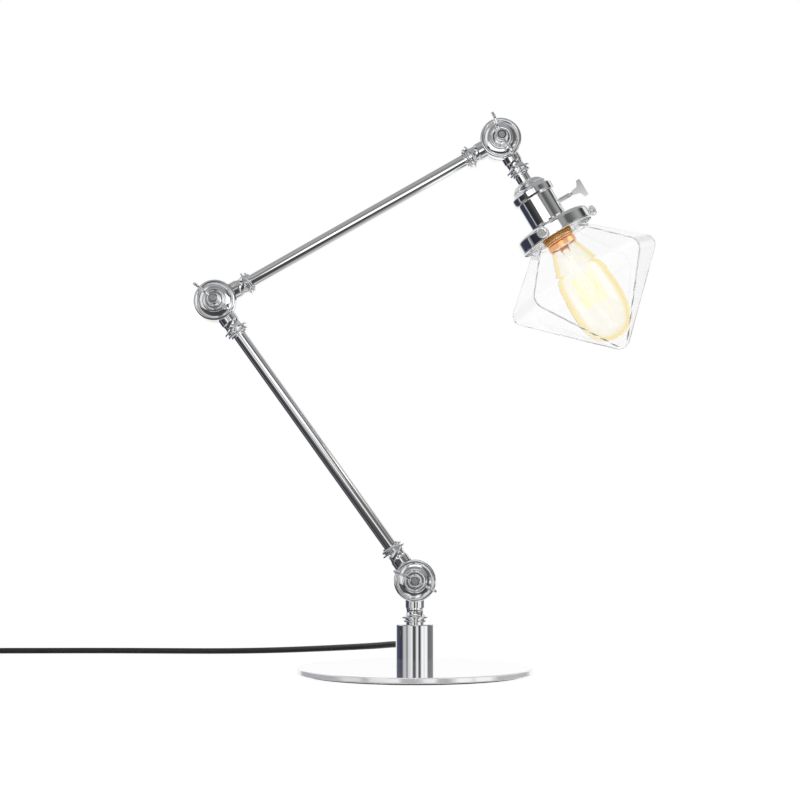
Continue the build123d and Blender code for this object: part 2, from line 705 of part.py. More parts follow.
# Cap of the holder: a domed cover with a flared skirt and a rolled lip
cap_radius = CAP_DIAMETER / 2
dome_radius = 0.775 * cap_radius
dome_end = cap_top + 5.6
flare_end = cap_top + 10.4
with BuildPart() as holder_cap:
    with BuildSketch(head_plane):
        with BuildLine():
            Polyline((pipe_hole, cap_top), (0.375 * cap_radius, cap_top))
            ThreePointArc(
                (0.375 * cap_radius, cap_top),
                (0.625 * cap_radius, cap_top + 1.5),
                (dome_radius, dome_end),
            )
            Polyline((dome_radius, dome_end), (dome_radius + 0.9, dome_end + 0.5))
            ThreePointArc(
                (dome_radius + 0.9, dome_end + 0.5),
                (dome_radius + 2.1, dome_end + 2.9),
                (cap_radius - 0.6, flare_end),
            )
            FilletPolyline(
                (cap_radius - 0.6, flare_end),
                (cap_radius, flare_end + 1.0),
                (cap_radius, cap_end - 2.0),
                (cap_radius - 0.7, cap_end),
                (HOLDER_DIAMETER / 2, cap_end),
                (HOLDER_DIAMETER / 2, cap_end - 2.0),
                (cap_radius - CAP_WALL, cap_end - 3.2),
                (cap_radius - CAP_WALL, flare_end + 1.4),
                (dome_radius - CAP_WALL, dome_end + 1.4),
                radius=[0.6, 0.6, 0.5, 0, 0, 0, 0],
            )
            ThreePointArc(
                (dome_radius - CAP_WALL, dome_end + 1.4),
                (0.625 * cap_radius - 0.6, cap_top + 2.6),
                (0.375 * cap_radius - 0.2, cap_top + CAP_WALL),
            )
            Polyline(
                (0.375 * cap_radius - 0.2, cap_top + CAP_WALL),
                (pipe_hole, cap_top + CAP_WALL),
                (pipe_hole, cap_top),
            )
        make_face()
    revolve(axis=head_axis)
save(holder_cap.part, "holder_cap")

# Body of the holder with its inward flange and the hole for the key
holder_radius = HOLDER_DIAMETER / 2
holder_inner = holder_radius - HOLDER_WALL
liner_outer = holder_inner - LINER_FIT
liner_inner = liner_outer - LINER_THICKNESS
shell_radius = SHELL_DIAMETER / 2
key_plane = Plane(origin=head_pivot + head_way * key_station, x_dir=(0, 1, 0), z_dir=head_side)
with BuildPart() as holder_shell:
    with BuildSketch(head_plane):
        with BuildLine():
            FilletPolyline(
                (holder_radius, holder_top),
                (holder_radius, holder_end),
                (shell_radius + BODY_GAP, holder_end),
                (shell_radius + BODY_GAP, holder_end - HOLDER_WALL),
                (holder_inner, holder_end - HOLDER_WALL),
                (holder_inner, holder_top),
                radius=[0, 0.6, 0, 0, 0, 0],
                close=True,
            )
        make_face()
    revolve(axis=head_axis)
    with BuildSketch(key_plane):
        Circle(KEY_HOLE_DIAMETER / 2)
    extrude(amount=CAP_DIAMETER, mode=Mode.SUBTRACT)
save(holder_shell.part, "holder_shell")

with BuildPart() as holder_liner:
    with BuildSketch(cross_plane(head_pivot, HEAD_ANGLE, holder_top + 1.0)):
        Circle(liner_outer)
        Circle(liner_inner, mode=Mode.SUBTRACT)
    extrude(amount=core_end - holder_top - 1.0)
    with BuildSketch(key_plane):
        Circle(KEY_HOLE_DIAMETER / 2)
    extrude(amount=CAP_DIAMETER, mode=Mode.SUBTRACT)
save(holder_liner.part, "holder_liner")

# Insulating core with the key's hole and the terminal holes
core_nose = shell_radius - SHELL_WALL
terminal_spots = [(-TERMINAL_SPREAD, 0), (TERMINAL_SPREAD, 0)]
with BuildPart() as holder_core:
    with BuildSketch(cross_plane(head_pivot, HEAD_ANGLE, core_top)):
        Circle(liner_inner)
    extrude(amount=CORE_LENGTH)
    with BuildSketch(cross_plane(head_pivot, HEAD_ANGLE, core_end)):
        Circle(core_nose)
    extrude(amount=CORE_NOSE_LENGTH)
    with BuildSketch(cross_plane(head_pivot, HEAD_ANGLE, core_top)):
        with Locations(*terminal_spots):
            Circle(TERMINAL_SHANK_DIAMETER / 2)
    extrude(amount=TERMINAL_SHANK_LENGTH, mode=Mode.SUBTRACT)
    with BuildSketch(key_plane.offset(KEY_SHAFT_START - BODY_GAP)):
        Circle(KEY_SHAFT_DIAMETER / 2 + RUNNING_CLEARANCE)
    extrude(amount=HOLDER_DIAMETER, mode=Mode.SUBTRACT)
save(holder_core.part, "holder_core")

with BuildPart() as terminal_screws:
    with BuildSketch(cross_plane(head_pivot, HEAD_ANGLE, terminal_top)):
        with Locations(*terminal_spots):
            Circle(TERMINAL_HEAD_DIAMETER / 2)
    extrude(amount=TERMINAL_HEAD_HEIGHT)
    with BuildSketch(cross_plane(head_pivot, HEAD_ANGLE, core_top)):
        with Locations(*terminal_spots):
            Circle(TERMINAL_SHANK_DIAMETER / 2)
    extrude(amount=TERMINAL_SHANK_LENGTH)
save(terminal_screws.part, "terminal_screws")

with BuildPart() as screw_shell:
    with BuildSketch(cross_plane(head_pivot, HEAD_ANGLE, core_end)):
        Circle(shell_radius)
        Circle(core_nose, mode=Mode.SUBTRACT)
    extrude(amount=shell_end - core_end)
save(screw_shell.part, "screw_shell")

with BuildPart() as centre_contact:
    with BuildSketch(cross_plane(head_pivot, HEAD_ANGLE, contact_start)):
        Circle(CONTACT_DIAMETER / 2)
    extrude(amount=CONTACT_LENGTH)
save(centre_contact.part, "centre_contact")

# Turn key: shaft in the core, sleeve, thin neck and a flared flat bar
key_origin = head_pivot + head_way * key_station
key_flat = Plane(origin=key_origin, x_dir=head_side, z_dir=(0, 1, 0))
bar_half = KEY_BAR_LENGTH / 2
with BuildPart() as switch_key:
    with BuildSketch(key_flat):
        with BuildLine():
            Polyline(
                (KEY_SHAFT_START, 0),
                (KEY_SHAFT_START, KEY_SHAFT_DIAMETER / 2),
                (holder_radius + 0.8, KEY_SHAFT_DIAMETER / 2),
                (holder_radius + 0.8, KEY_SLEEVE_DIAMETER / 2),
                (KEY_SLEEVE_END, KEY_SLEEVE_DIAMETER / 2),
                (KEY_SLEEVE_END + 0.6, KEY_NECK_DIAMETER / 2),
                (KEY_NECK_END + 4.0, KEY_NECK_DIAMETER / 2),
                (KEY_NECK_END + 4.0, 0),
                close=True,
            )
        make_face()
    revolve(axis=Axis(key_origin, head_side))
    with BuildSketch(key_flat):
        with BuildLine():
            FilletPolyline(
                (KEY_NECK_END, 2.2),
                (KEY_TIP - 6.0, 3.2),
                (KEY_TIP - 3.6, bar_half),
                (KEY_TIP, bar_half),
                (KEY_TIP, -bar_half),
                (KEY_TIP - 3.6, -bar_half),
                (KEY_TIP - 6.0, -3.2),
                (KEY_NECK_END, -2.2),
                radius=[0, 2.4, 1.2, 1.2, 1.2, 1.2, 2.4, 0],
                close=True,
            )
        make_face()
    extrude(amount=KEY_BAR_THICKNESS / 2, both=True)
save(switch_key.part, "switch_key")

# Gallery: flat crown, sloping top, round shoulder, straight wall and a bead
gallery_radius = GALLERY_DIAMETER / 2
gallery_hole = shell_radius + GALLERY_HOLE_CLEARANCE
gallery_flat = GALLERY_FLAT_DIAMETER / 2
gallery_end = holder_end + GALLERY_DEPTH
gallery_bore = gallery_radius - GALLERY_WALL
gallery_slope = GALLERY_DROP / (gallery_radius - gallery_flat)
gallery_inner_radius = GALLERY_SHOULDER_RADIUS - GALLERY_WALL


def gallery_ceiling(radius):
    return gallery_inside + gallery_slope * (radius - gallery_flat)


with BuildPart() as gallery:
    with BuildSketch(head_plane):
        with BuildLine():
            FilletPolyline(
                (gallery_hole, holder_end),
                (gallery_flat, holder_end),
                (gallery_radius, holder_end + GALLERY_DROP),
                (gallery_radius, gallery_end - 1.5),
                (gallery_radius + GALLERY_BEAD, gallery_end - 1.1),
                (gallery_radius + GALLERY_BEAD, gallery_end),
                (gallery_bore, gallery_end),
                (gallery_bore, gallery_ceiling(gallery_bore)),
                (gallery_flat, gallery_inside),
                (gallery_hole, gallery_inside),
                radius=[0, 0, GALLERY_SHOULDER_RADIUS, 0, 0.3, 0.4, 0, gallery_inner_radius, 0, 0],
                close=True,
            )
        make_face()
    revolve(axis=head_axis)
    for azimuth in THUMB_AZIMUTHS:
        thumb_plane = radial_plane(azimuth, thumb_station)
        with BuildSketch(Plane(origin=thumb_plane.origin, x_dir=head_way, z_dir=thumb_plane.x_dir)):
            Circle(THUMB_SHANK_DIAMETER / 2 + RUNNING_CLEARANCE)
        extrude(amount=GALLERY_DIAMETER, mode=Mode.SUBTRACT)
save(gallery.part, "gallery")

with BuildPart() as gallery_ring:
    with BuildSketch(cross_plane(head_pivot, HEAD_ANGLE, gallery_inside)):
        Circle(RING_DIAMETER / 2)
        Circle(shell_radius, mode=Mode.SUBTRACT)
    extrude(amount=RING_THICKNESS)
save(gallery_ring.part, "gallery_ring")

# Thumb screws through the wall of the gallery, up to the neck of the glass
glass_neck_radius = GLASS_NECK_DIAMETER / 2
thumb_tip = glass_neck_radius + BODY_GAP
thumb_head = gallery_radius + THUMB_HEAD_START


def thumb_screw(azimuth):
    plane = radial_plane(azimuth, thumb_station)
    with BuildPart() as screw:
        with BuildSketch(plane):
            with BuildLine():
                FilletPolyline(
                    (thumb_tip, 0),
                    (thumb_tip, THUMB_SHANK_DIAMETER / 2),
                    (thumb_head - 1.4, THUMB_SHANK_DIAMETER / 2),
                    (thumb_head - 1.4, THUMB_SHANK_DIAMETER / 2 + 1.1),
                    (thumb_head, THUMB_SHANK_DIAMETER / 2 + 1.1),
                    (thumb_head, THUMB_HEAD_DIAMETER / 2),
                    (thumb_head + THUMB_HEAD_LENGTH, THUMB_HEAD_DIAMETER / 2),
                    (thumb_head + THUMB_HEAD_LENGTH, 0),
                    radius=[0, 0.4, 0, 0, 0, 0.8, 2.0, 0],
                    close=True,
                )
            make_face()
        revolve(axis=Axis(plane.origin, plane.x_dir))
    return screw.part


save(thumb_screw(THUMB_AZIMUTHS[0]), "thumb_screw_front")
save(thumb_screw(THUMB_AZIMUTHS[1]), "thumb_screw_right")
save(thumb_screw(THUMB_AZIMUTHS[2]), "thumb_screw_rear")

# Glass shade: facets from slabs that cross on the head's line, hollowed, with a round neck
flat_ratio = math.cos(math.radians(180 / SIDES))
glass_neck_bore = glass_neck_radius - GLASS_NECK_WALL
top_flat = glass_neck_radius * flat_ratio
girdle_flat = GIRDLE_DIAMETER / 2 * flat_ratio
upper_slope = (girdle_flat - top_flat) / (DIAMOND_GIRDLE - DIAMOND_TOP)
lower_slope = girdle_flat / (DIAMOND_TIP - DIAMOND_GIRDLE)
upper_shift = GLASS_WALL * math.sqrt(1 + upper_slope ** 2)
lower_shift = GLASS_WALL * math.sqrt(1 + lower_slope ** 2)
inner_tip = DIAMOND_TIP - lower_shift / lower_slope
inner_rise = (lower_shift - upper_shift) / (upper_slope + lower_slope)
inner_girdle = DIAMOND_GIRDLE - inner_rise
inner_flat = girdle_flat - upper_shift - upper_slope * inner_rise
inner_top_flat = top_flat - upper_shift
bore_end = DIAMOND_TOP + (glass_neck_bore - inner_top_flat) / upper_slope + 1.0


# The glass is made upright at the origin, its own z down the head, and then put in place.
def facet_slab(index, top, girdle, tip, top_width, girdle_width, girdle_round, tip_round):
    azimuth = math.radians(CORNER_AZIMUTH + (index + 0.5) * 360 / SIDES)
    out = Vector(math.cos(azimuth), math.sin(azimuth), 0)
    facet_plane = Plane(origin=(0, 0, 0), x_dir=out, z_dir=(out.Y, -out.X, 0))
    with BuildPart() as slab:
        with BuildSketch(facet_plane.offset(-GIRDLE_DIAMETER)):
            with BuildLine():
                FilletPolyline(
                    (-top_width, top),
                    (top_width, top),
                    (girdle_width, girdle),
                    (0, tip),
                    (-girdle_width, girdle),
                    radius=[0, 0, girdle_round, tip_round, girdle_round],
                    close=True,
                )
            make_face()
        extrude(amount=2 * GIRDLE_DIAMETER)
    return slab.part


def diamond(*shape):
    solid = facet_slab(0, *shape)
    for index in range(1, SIDES // 2):
        solid = solid & facet_slab(index, *shape)
    return solid


glass_outside = diamond(
    DIAMOND_TOP, DIAMOND_GIRDLE, DIAMOND_TIP, top_flat, girdle_flat,
    GIRDLE_RADIUS, TIP_RADIUS,
)
glass_inside = diamond(
    DIAMOND_TOP, inner_girdle, inner_tip, inner_top_flat, inner_flat,
    GIRDLE_RADIUS - GLASS_WALL, TIP_RADIUS - GLASS_WALL,
)
lip_radius = GLASS_LIP_DIAMETER / 2
lip_top = gallery_ceiling(lip_radius) - holder_end
bore_top = gallery_ceiling(glass_neck_bore) - holder_end
with BuildPart() as glass_upright:
    add(glass_outside)
    with BuildSketch(Plane.XZ):
        with BuildLine():
            FilletPolyline(
                (glass_neck_bore, bore_top),
                (lip_radius, lip_top),
                (lip_radius, GLASS_LIP_LENGTH),
                (glass_neck_radius, GLASS_LIP_LENGTH + 1.4),
                (glass_neck_radius, DIAMOND_TOP + 4.0),
                (glass_neck_bore, DIAMOND_TOP + 4.0),
                radius=[0.6, 0.6, 0.8, 1.2, 0, 0],
                close=True,
            )
        make_face()
    revolve(axis=Axis.Z)
    with BuildSketch(Plane.XY.offset(GLASS_LIP_LENGTH)):
        Circle(glass_neck_bore)
    extrude(amount=bore_end - GLASS_LIP_LENGTH, mode=Mode.SUBTRACT)
    add(glass_inside, mode=Mode.SUBTRACT)
glass_frame = Plane(origin=head_pivot + head_way * holder_end, x_dir=head_side, z_dir=head_way)
glass_shade = glass_upright.part.moved(glass_frame.location)
save(glass_shade, "glass_shade")

# Bulb: contact, ridged cap with a plain collar, glass, inner mount and filament
bulb_cap_radius = BULB_CAP_DIAMETER / 2
bulb_neck = BULB_NECK_DIAMETER / 2
cap_start = bulb_foot + BULB_CONTACT_LENGTH
cap_finish = bulb_foot + BULB_CAP_LENGTH
collar_start = cap_finish - BULB_COLLAR_LENGTH
ridge = (collar_start - cap_start - 4.5) / BULB_CAP_RIDGES
with BuildPart() as bulb_contact:
    with BuildSketch(cross_plane(head_pivot, HEAD_ANGLE, bulb_foot)):
        Circle(BULB_CONTACT_DIAMETER / 2)
    extrude(amount=BULB_CONTACT_LENGTH)
save(bulb_contact.part, "bulb_contact")

with BuildPart() as bulb_cap:
    with BuildSketch(head_plane):
        with BuildLine():
            low = cap_start + 4.0
            Polyline((0, cap_start), (BULB_CONTACT_DIAMETER / 2, cap_start), (bulb_cap_radius - 1.2, low))
            for index in range(BULB_CAP_RIDGES):
                ThreePointArc(
                    (bulb_cap_radius - 1.2, low + index * ridge),
                    (bulb_cap_radius, low + (index + 0.5) * ridge),
                    (bulb_cap_radius - 1.2, low + (index + 1) * ridge),
                )
            Polyline(
                (bulb_cap_radius - 1.2, low + BULB_CAP_RIDGES * ridge),
                (BULB_COLLAR_DIAMETER / 2, collar_start),
                (BULB_COLLAR_DIAMETER / 2, cap_finish),
                (bulb_neck, cap_finish),
                (bulb_neck, collar_start + 0.6),
                (bulb_cap_radius - 1.2 - BULB_CAP_WALL, collar_start - 0.6),
                (bulb_cap_radius - 1.2 - BULB_CAP_WALL, low + 0.2),
                (BULB_CONTACT_DIAMETER / 2, cap_start + 0.7),
                (0, cap_start + 0.7),
                (0, cap_start),
            )
        make_face()
    revolve(axis=head_axis)
save(bulb_cap.part, "bulb_cap")

bulb_radius = BULB_DIAMETER / 2
bulb_start = bulb_foot + BULB_NECK_START
shoulder = bulb_foot + BULB_SHOULDER
widest = bulb_foot + BULB_WIDEST
bulb_tip = bulb_foot + BULB_TIP


# The crown is two arcs: a long one up the side and a round nose with its centre on the line.
side_offset = BULB_SIDE_RADIUS - bulb_radius
crown = bulb_tip - widest
nose_lead = BULB_SIDE_RADIUS - crown
nose_rise = (side_offset ** 2 - nose_lead ** 2) / (2 * nose_lead)
nose_reach = math.hypot(side_offset, nose_rise)


def bulb_outline(skin):
    side_radius = BULB_SIDE_RADIUS - skin
    blend_x = side_radius * side_offset / nose_reach - side_offset
    blend_y = widest + side_radius * nose_rise / nose_reach
    Polyline(
        (bulb_neck - skin, bulb_start),
        (bulb_neck - skin, cap_finish + 1.0),
        (BULB_SHOULDER_SHARE * bulb_radius - skin, shoulder),
    )
    ThreePointArc(
        (BULB_SHOULDER_SHARE * bulb_radius - skin, shoulder),
        (BULB_SIDE_SHARE * bulb_radius - skin, shoulder + 0.5 * (widest - shoulder)),
        (bulb_radius - skin, widest),
    )
    side_arc = TangentArc((bulb_radius - skin, widest), (blend_x, blend_y), tangent=(0, 1))
    TangentArc((blend_x, blend_y), (0, bulb_tip - skin), tangent=side_arc % 1)


with BuildPart() as bulb_glass:
    with BuildSketch(head_plane):
        with BuildLine():
            bulb_outline(0)
            bulb_outline(BULB_GLASS_WALL)
            Line((bulb_neck, bulb_start), (bulb_neck - BULB_GLASS_WALL, bulb_start))
            Line((0, bulb_tip), (0, bulb_tip - BULB_GLASS_WALL))
        make_face()
    revolve(axis=head_axis)
save(bulb_glass.part, "bulb_glass")

mount_radius = MOUNT_DIAMETER / 2
mount_foot = bulb_start + 1.0
with BuildPart() as bulb_mount:
    with BuildSketch(head_plane):
        with BuildLine():
            FilletPolyline(
                (0, mount_foot),
                (bulb_neck - BULB_GLASS_WALL, mount_foot),
                (bulb_neck - BULB_GLASS_WALL, mount_foot + 0.8),
                (mount_radius + 1.6, mount_foot + 3.0),
                (mount_radius, mount_foot + 10.0),
                (mount_radius, bulb_foot + MOUNT_TIP),
                (0, bulb_foot + MOUNT_TIP),
                radius=[0, 0, 0, 2.0, 2.0, 1.5, 0],
                close=True,
            )
        make_face()
    revolve(axis=head_axis)
save(bulb_mount.part, "bulb_mount")

# Filament: one wire up and down round the mount
cage_points = [radial_plane(0, bulb_foot + FILAMENT_LOW - 6.0).from_local_coords((mount_radius + 0.05, 0, 0))]
for index in range(FILAMENT_STRANDS):
    height = FILAMENT_HIGH if index % 2 else FILAMENT_LOW
    strand_plane = radial_plane(index * 360 / FILAMENT_STRANDS, bulb_foot + height)
    cage_points.append(strand_plane.from_local_coords((FILAMENT_CAGE_DIAMETER / 2, 0, 0)))
with BuildPart() as filament:
    with BuildLine() as filament_path:
        FilletPolyline(*cage_points, radius=[1.2] * (len(cage_points) - 2))
    with BuildSketch(Plane(origin=filament_path.line @ 0, z_dir=filament_path.line % 0)):
        Circle(FILAMENT_DIAMETER / 2)
    sweep(path=filament_path.line)
save(filament.part, "filament")

# Cord from the stem to the coil: straight runs joined by round bends
coil_floor = COIL_FLOOR_GAP + cord_radius


def coil_point(quarter, radius, height):
    azimuth = math.radians(COIL_START_AZIMUTH + 90 * quarter)
    x = COIL_CENTRE_X + radius * math.cos(azimuth)
    y = COIL_CENTRE_Y + radius * math.sin(azimuth)
    return Vector(x, y, height)


def coil_heading(quarter):
    azimuth = math.radians(COIL_START_AZIMUTH + 90 * quarter)
    return Vector(-math.sin(azimuth), math.cos(azimuth), 0)


coil_start = coil_point(0, COIL_RADIUS, coil_floor)
coil_lead = coil_start - coil_heading(0) * CORD_DIAMETER
cord_points = [exit_origin + exit_way * CORD_INNER_END, exit_origin + exit_way * CORD_STRAIGHT_END]
cord_points += [Vector(*point) for point in CORD_ROUTE]
cord_points += [coil_lead - coil_heading(0) * COIL_APPROACH, coil_lead]
cord_radii = []
for index in range(1, len(cord_points) - 1):
    before = cord_points[index] - cord_points[index - 1]
    after = cord_points[index + 1] - cord_points[index]
    turn = math.radians(before.get_angle(after))
    cord_radii.append(CORD_BEND_SHARE * min(before.length, after.length) / math.tan(turn / 2))
print("cord bend radii", [round(radius, 1) for radius in cord_radii])
with BuildPart() as cord_run:
    with BuildLine() as cord_path:
        FilletPolyline(*cord_points, radius=cord_radii)
    with BuildSketch(Plane(origin=cord_path.line @ 0, z_dir=cord_path.line % 0)):
        Circle(cord_radius)
    sweep(path=cord_path.line)
cord_section = math.pi * cord_radius ** 2
run_length = cord_path.wire().length
print("cord run length", run_length, "volume ratio", cord_run.part.volume / cord_section / run_length)
save(cord_run.part, "cord_run")

# Coil of spare cord: in along the floor, a half turn up, out on top, then down to the plug
coil_top = coil_floor + CORD_DIAMETER + COIL_LAYER_GAP
inner_radius = COIL_RADIUS - COIL_PITCH * COIL_QUARTERS_IN / 4
coil_stops = [(coil_lead, coil_heading(0)), (coil_start, coil_heading(0))]
for quarter in range(1, COIL_QUARTERS_IN + 1):
    radius = COIL_RADIUS - COIL_PITCH * quarter / 4
    coil_stops.append((coil_point(quarter, radius, coil_floor), coil_heading(quarter)))
climb = coil_heading(COIL_QUARTERS_IN + 1)
climb_radius = inner_radius - COIL_PITCH / 4
half_up = (coil_floor + coil_top) / 2
steep = (climb + Vector(0, 0, (coil_top - coil_floor) / (2 * climb_radius))).normalized()
coil_stops.append((coil_point(COIL_QUARTERS_IN + 1, climb_radius - COIL_PITCH / 4, half_up), steep))
first_out = COIL_QUARTERS_IN + 2
for step in range(COIL_QUARTERS_OUT + 1):
    quarter = first_out + step
    radius = climb_radius + COIL_PITCH * step / 4
    coil_stops.append((coil_point(quarter, radius, coil_top), coil_heading(quarter)))
last_place, last_way = coil_stops[-1]
plug_height = PLUG_FLOOR_GAP + PLUG_THICKNESS / 2
tail_place = Vector(last_place.X, last_place.Y, plug_height) + last_way * TAIL_LENGTH
coil_stops.append((tail_place, last_way))
coil_stops.append((tail_place + last_way * CORD_DIAMETER, last_way))


def join_stops(first, second):
    start, start_way = first
    end, end_way = second
    span = end - start
    ways = start_way + end_way
    spread = 1 - start_way.dot(end_way)
    along = span.dot(ways)
    if spread < 1e-9:
        reach = span.dot(span) / (2 * along)
    else:
        reach = (-along + math.sqrt(along ** 2 + 2 * spread * span.dot(span))) / (2 * spread)
    middle = (start + end + (start_way - end_way) * reach) / 2
    if (span.normalized() - start_way).length < 1e-6:
        Line(start, end)
    else:
        first_arc = TangentArc(start, middle, tangent=start_way)
        TangentArc(middle, end, tangent=first_arc % 1)


with BuildPart() as cord_coil:
    with BuildLine() as coil_path:
        for first, second in zip(coil_stops, coil_stops[1:]):
            join_stops(first, second)
    with BuildSketch(Plane(origin=coil_lead, z_dir=coil_heading(0))):
        Circle(cord_radius)
    sweep(path=coil_path.wire())
coil_length = coil_path.wire().length
print("coil length", coil_length, "volume ratio", cord_coil.part.volume / cord_section / coil_length)
print("cord length in all", run_length + coil_length)
save(cord_coil.part, "cord_coil")

# Tie round one side of the coil
tie_low = COIL_FLOOR_GAP
tie_high = coil_top + cord_radius
tie_inner = inner_radius - COIL_PITCH
tie_outer = COIL_RADIUS + cord_radius + 1.0
tie_azimuth = math.radians(TIE_AZIMUTH)
tie_out = Vector(math.cos(tie_azimuth), math.sin(tie_azimuth), 0)
coil_middle = Vector(COIL_CENTRE_X, COIL_CENTRE_Y, (tie_low + tie_high) / 2)
tie_centre = coil_middle + tie_out * ((tie_inner + tie_outer) / 2)
tie_span = tie_outer - tie_inner
tie_rise = tie_high - tie_low
with BuildPart() as cord_tie:
    with BuildSketch(Plane(origin=tie_centre, x_dir=tie_out, z_dir=(-tie_out.Y, tie_out.X, 0))):
        RectangleRounded(tie_span + 2 * TIE_THICKNESS, tie_rise + 2 * TIE_THICKNESS, TIE_CORNER)
        RectangleRounded(tie_span, tie_rise, TIE_CORNER - TIE_THICKNESS, mode=Mode.SUBTRACT)
    extrude(amount=TIE_WIDTH / 2, both=True)
save(cord_tie.part, "cord_tie")

# Two-pin plug at the end of the cord
plug_origin = tail_place + last_way * CORD_DIAMETER
plug_foot = plug_origin - Vector(0, 0, PLUG_THICKNESS / 2)
plug_across = Vector(last_way.Y, -last_way.X, 0)
plug_plane = Plane(origin=plug_origin, x_dir=plug_across, z_dir=last_way)
with BuildPart() as plug_body:
    with BuildSketch(Plane(origin=plug_foot, x_dir=plug_across, z_dir=(0, 0, 1))):
        with BuildLine():
            FilletPolyline(
                (-6.0, 0),
                (6.0, 0),
                (7.0, 8.0),
                (PLUG_WIDTH / 2, 18.0),
                (PLUG_WIDTH / 2, PLUG_LENGTH),
                (-PLUG_WIDTH / 2, PLUG_LENGTH),
                (-PLUG_WIDTH / 2, 18.0),
                (-7.0, 8.0),
                radius=[2.0, 2.0, 4.0, 5.0, 2.5, 2.5, 5.0, 4.0],
                close=True,
            )
        make_face()
    extrude(amount=PLUG_THICKNESS)
    fillet(plug_body.faces().sort_by(Axis.Z)[0].edges(), 1.5)
    fillet(plug_body.faces().sort_by(Axis.Z)[-1].edges(), 1.5)
save(plug_body.part, "plug_body")

with BuildPart() as plug_pins:
    with BuildSketch(plug_plane.offset(PLUG_LENGTH)):
        with Locations((-PLUG_PIN_SPREAD / 2, 0), (PLUG_PIN_SPREAD / 2, 0)):
            Circle(PLUG_PIN_DIAMETER / 2)
    extrude(amount=PLUG_PIN_LENGTH)
    fillet(plug_pins.faces().sort_by(Axis(plug_origin, last_way))[-2:].edges(), 1.2)
save(plug_pins.part, "plug_pins")
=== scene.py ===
# %% [markdown]
# An adjustable table lamp with a faceted glass shade
#
# The lamp is a chromed disc with a short stem, two tubes joined by three clamp knuckles, and a
# lamp holder that carries a closed glass shade over an amber bulb. Every hard piece comes from
# the solid model, so this lesson is about finishes, light and the one soft piece, the cord.
# We load the solids first.

import json
import math

import bpy
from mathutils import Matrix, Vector


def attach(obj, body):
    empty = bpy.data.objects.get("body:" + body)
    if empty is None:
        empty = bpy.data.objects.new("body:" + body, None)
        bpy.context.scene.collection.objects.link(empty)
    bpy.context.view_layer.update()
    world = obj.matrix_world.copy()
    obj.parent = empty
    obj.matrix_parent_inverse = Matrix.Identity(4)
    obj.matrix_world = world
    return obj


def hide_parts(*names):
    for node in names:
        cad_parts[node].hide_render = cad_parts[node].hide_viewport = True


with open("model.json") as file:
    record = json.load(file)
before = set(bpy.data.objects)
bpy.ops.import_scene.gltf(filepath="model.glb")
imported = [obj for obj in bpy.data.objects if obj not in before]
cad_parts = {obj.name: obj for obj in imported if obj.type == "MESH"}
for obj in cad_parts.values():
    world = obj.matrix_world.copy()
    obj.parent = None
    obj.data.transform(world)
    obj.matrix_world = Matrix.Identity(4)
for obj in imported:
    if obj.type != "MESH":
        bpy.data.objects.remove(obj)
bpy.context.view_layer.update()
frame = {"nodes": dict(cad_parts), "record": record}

# %% [markdown]
# The camera
#
# The picture looks at the lamp from a little above the plate and from straight in front. A long
# lens far away keeps the tubes from bending in perspective. The place and tilt were worked out
# from the pivots and the plate's rim, so they are plain numbers here, with no shift of the lens.

# %% Place the camera
CAMERA_PLACE = (-0.0133, -1.300, 0.1181)
LOOKS_UP = math.radians(5.615)
CAMERA_LENS = 64.66
SENSOR_WIDTH = 36.0

scene = bpy.context.scene
lens = bpy.data.cameras.new("studio_camera")
lens.lens = CAMERA_LENS
lens.sensor_width = SENSOR_WIDTH
camera = bpy.data.objects.new("studio_camera", lens)
camera.location = CAMERA_PLACE
camera.rotation_euler = (math.pi / 2 + LOOKS_UP, 0, 0)
scene.collection.objects.link(camera)
scene.camera = camera
print("camera", round(camera.location.length, 3), "m from the foot of the stem")

# %% [markdown]
# The cord
#
# A round black lead leaves the back of the stem, sinks to the floor in one long bow and runs off
# to the left. What the picture does not show is wound up there as a tied coil with its plug. A
# cord could be a swept mesh, but one smooth NURBS curve with a round bevel bends as a real lead
# does, so the whole length is one curve: a few points for the run, and sixteen for each turn.

# %% Route of the run, in millimetres
CORD_DIAMETER = 6.0
EXIT_HEIGHT = 25.0
EXIT_AZIMUTH = math.radians(115)
EXIT_STARTS = (9.0, 32.0)

exit_way = Vector((math.cos(EXIT_AZIMUTH), math.sin(EXIT_AZIMUTH), 0))
route = [Vector((0, 0, EXIT_HEIGHT)) + exit_way * reach for reach in EXIT_STARTS]
route += [Vector(place) for place in (
    (-34.0, 65.0, 20.6),
    (-63.0, 106.0, 16.2),
    (-101.0, 149.0, 11.4),
    (-147.0, 188.0, 7.0),
    (-201.0, 216.0, 4.2),
    (-262.0, 230.5, 3.4),
    (-328.0, 234.5, 3.4),
    (-394.0, 231.0, 3.5),
)]
print("points on the run:", len(route))

# %% [markdown]
# Turns of the coil
#
# The turns go inwards on the floor, climb once in the middle and come out again on top, each one
# a cord's width from the last. A NURBS curve cuts inside its control points, so the points of a
# turn stand a little outside the turn itself.

# %% Wind the coil
COIL_MIDDLE = (-472.0, 178.0)
COIL_START = 100.0
COIL_RADIUS = 41.5
COIL_PITCH = 6.8
LOW_LAYER = 3.8
HIGH_LAYER = 10.7
TURN_POINTS = 16
POINT_STEP = 4 / TURN_POINTS
LOW_QUARTERS = 12
CLIMB_QUARTER = 13
HIGH_QUARTER = 14
LAST_QUARTER = 25
INNER_RADIUS = COIL_RADIUS - COIL_PITCH * LOW_QUARTERS / 4
STRAIGHT_IN = 40.0
TAIL_LENGTH = 62.0
TAIL_HEIGHT = 6.9
STANDS_OUT = 1 / math.cos(math.pi / TURN_POINTS)


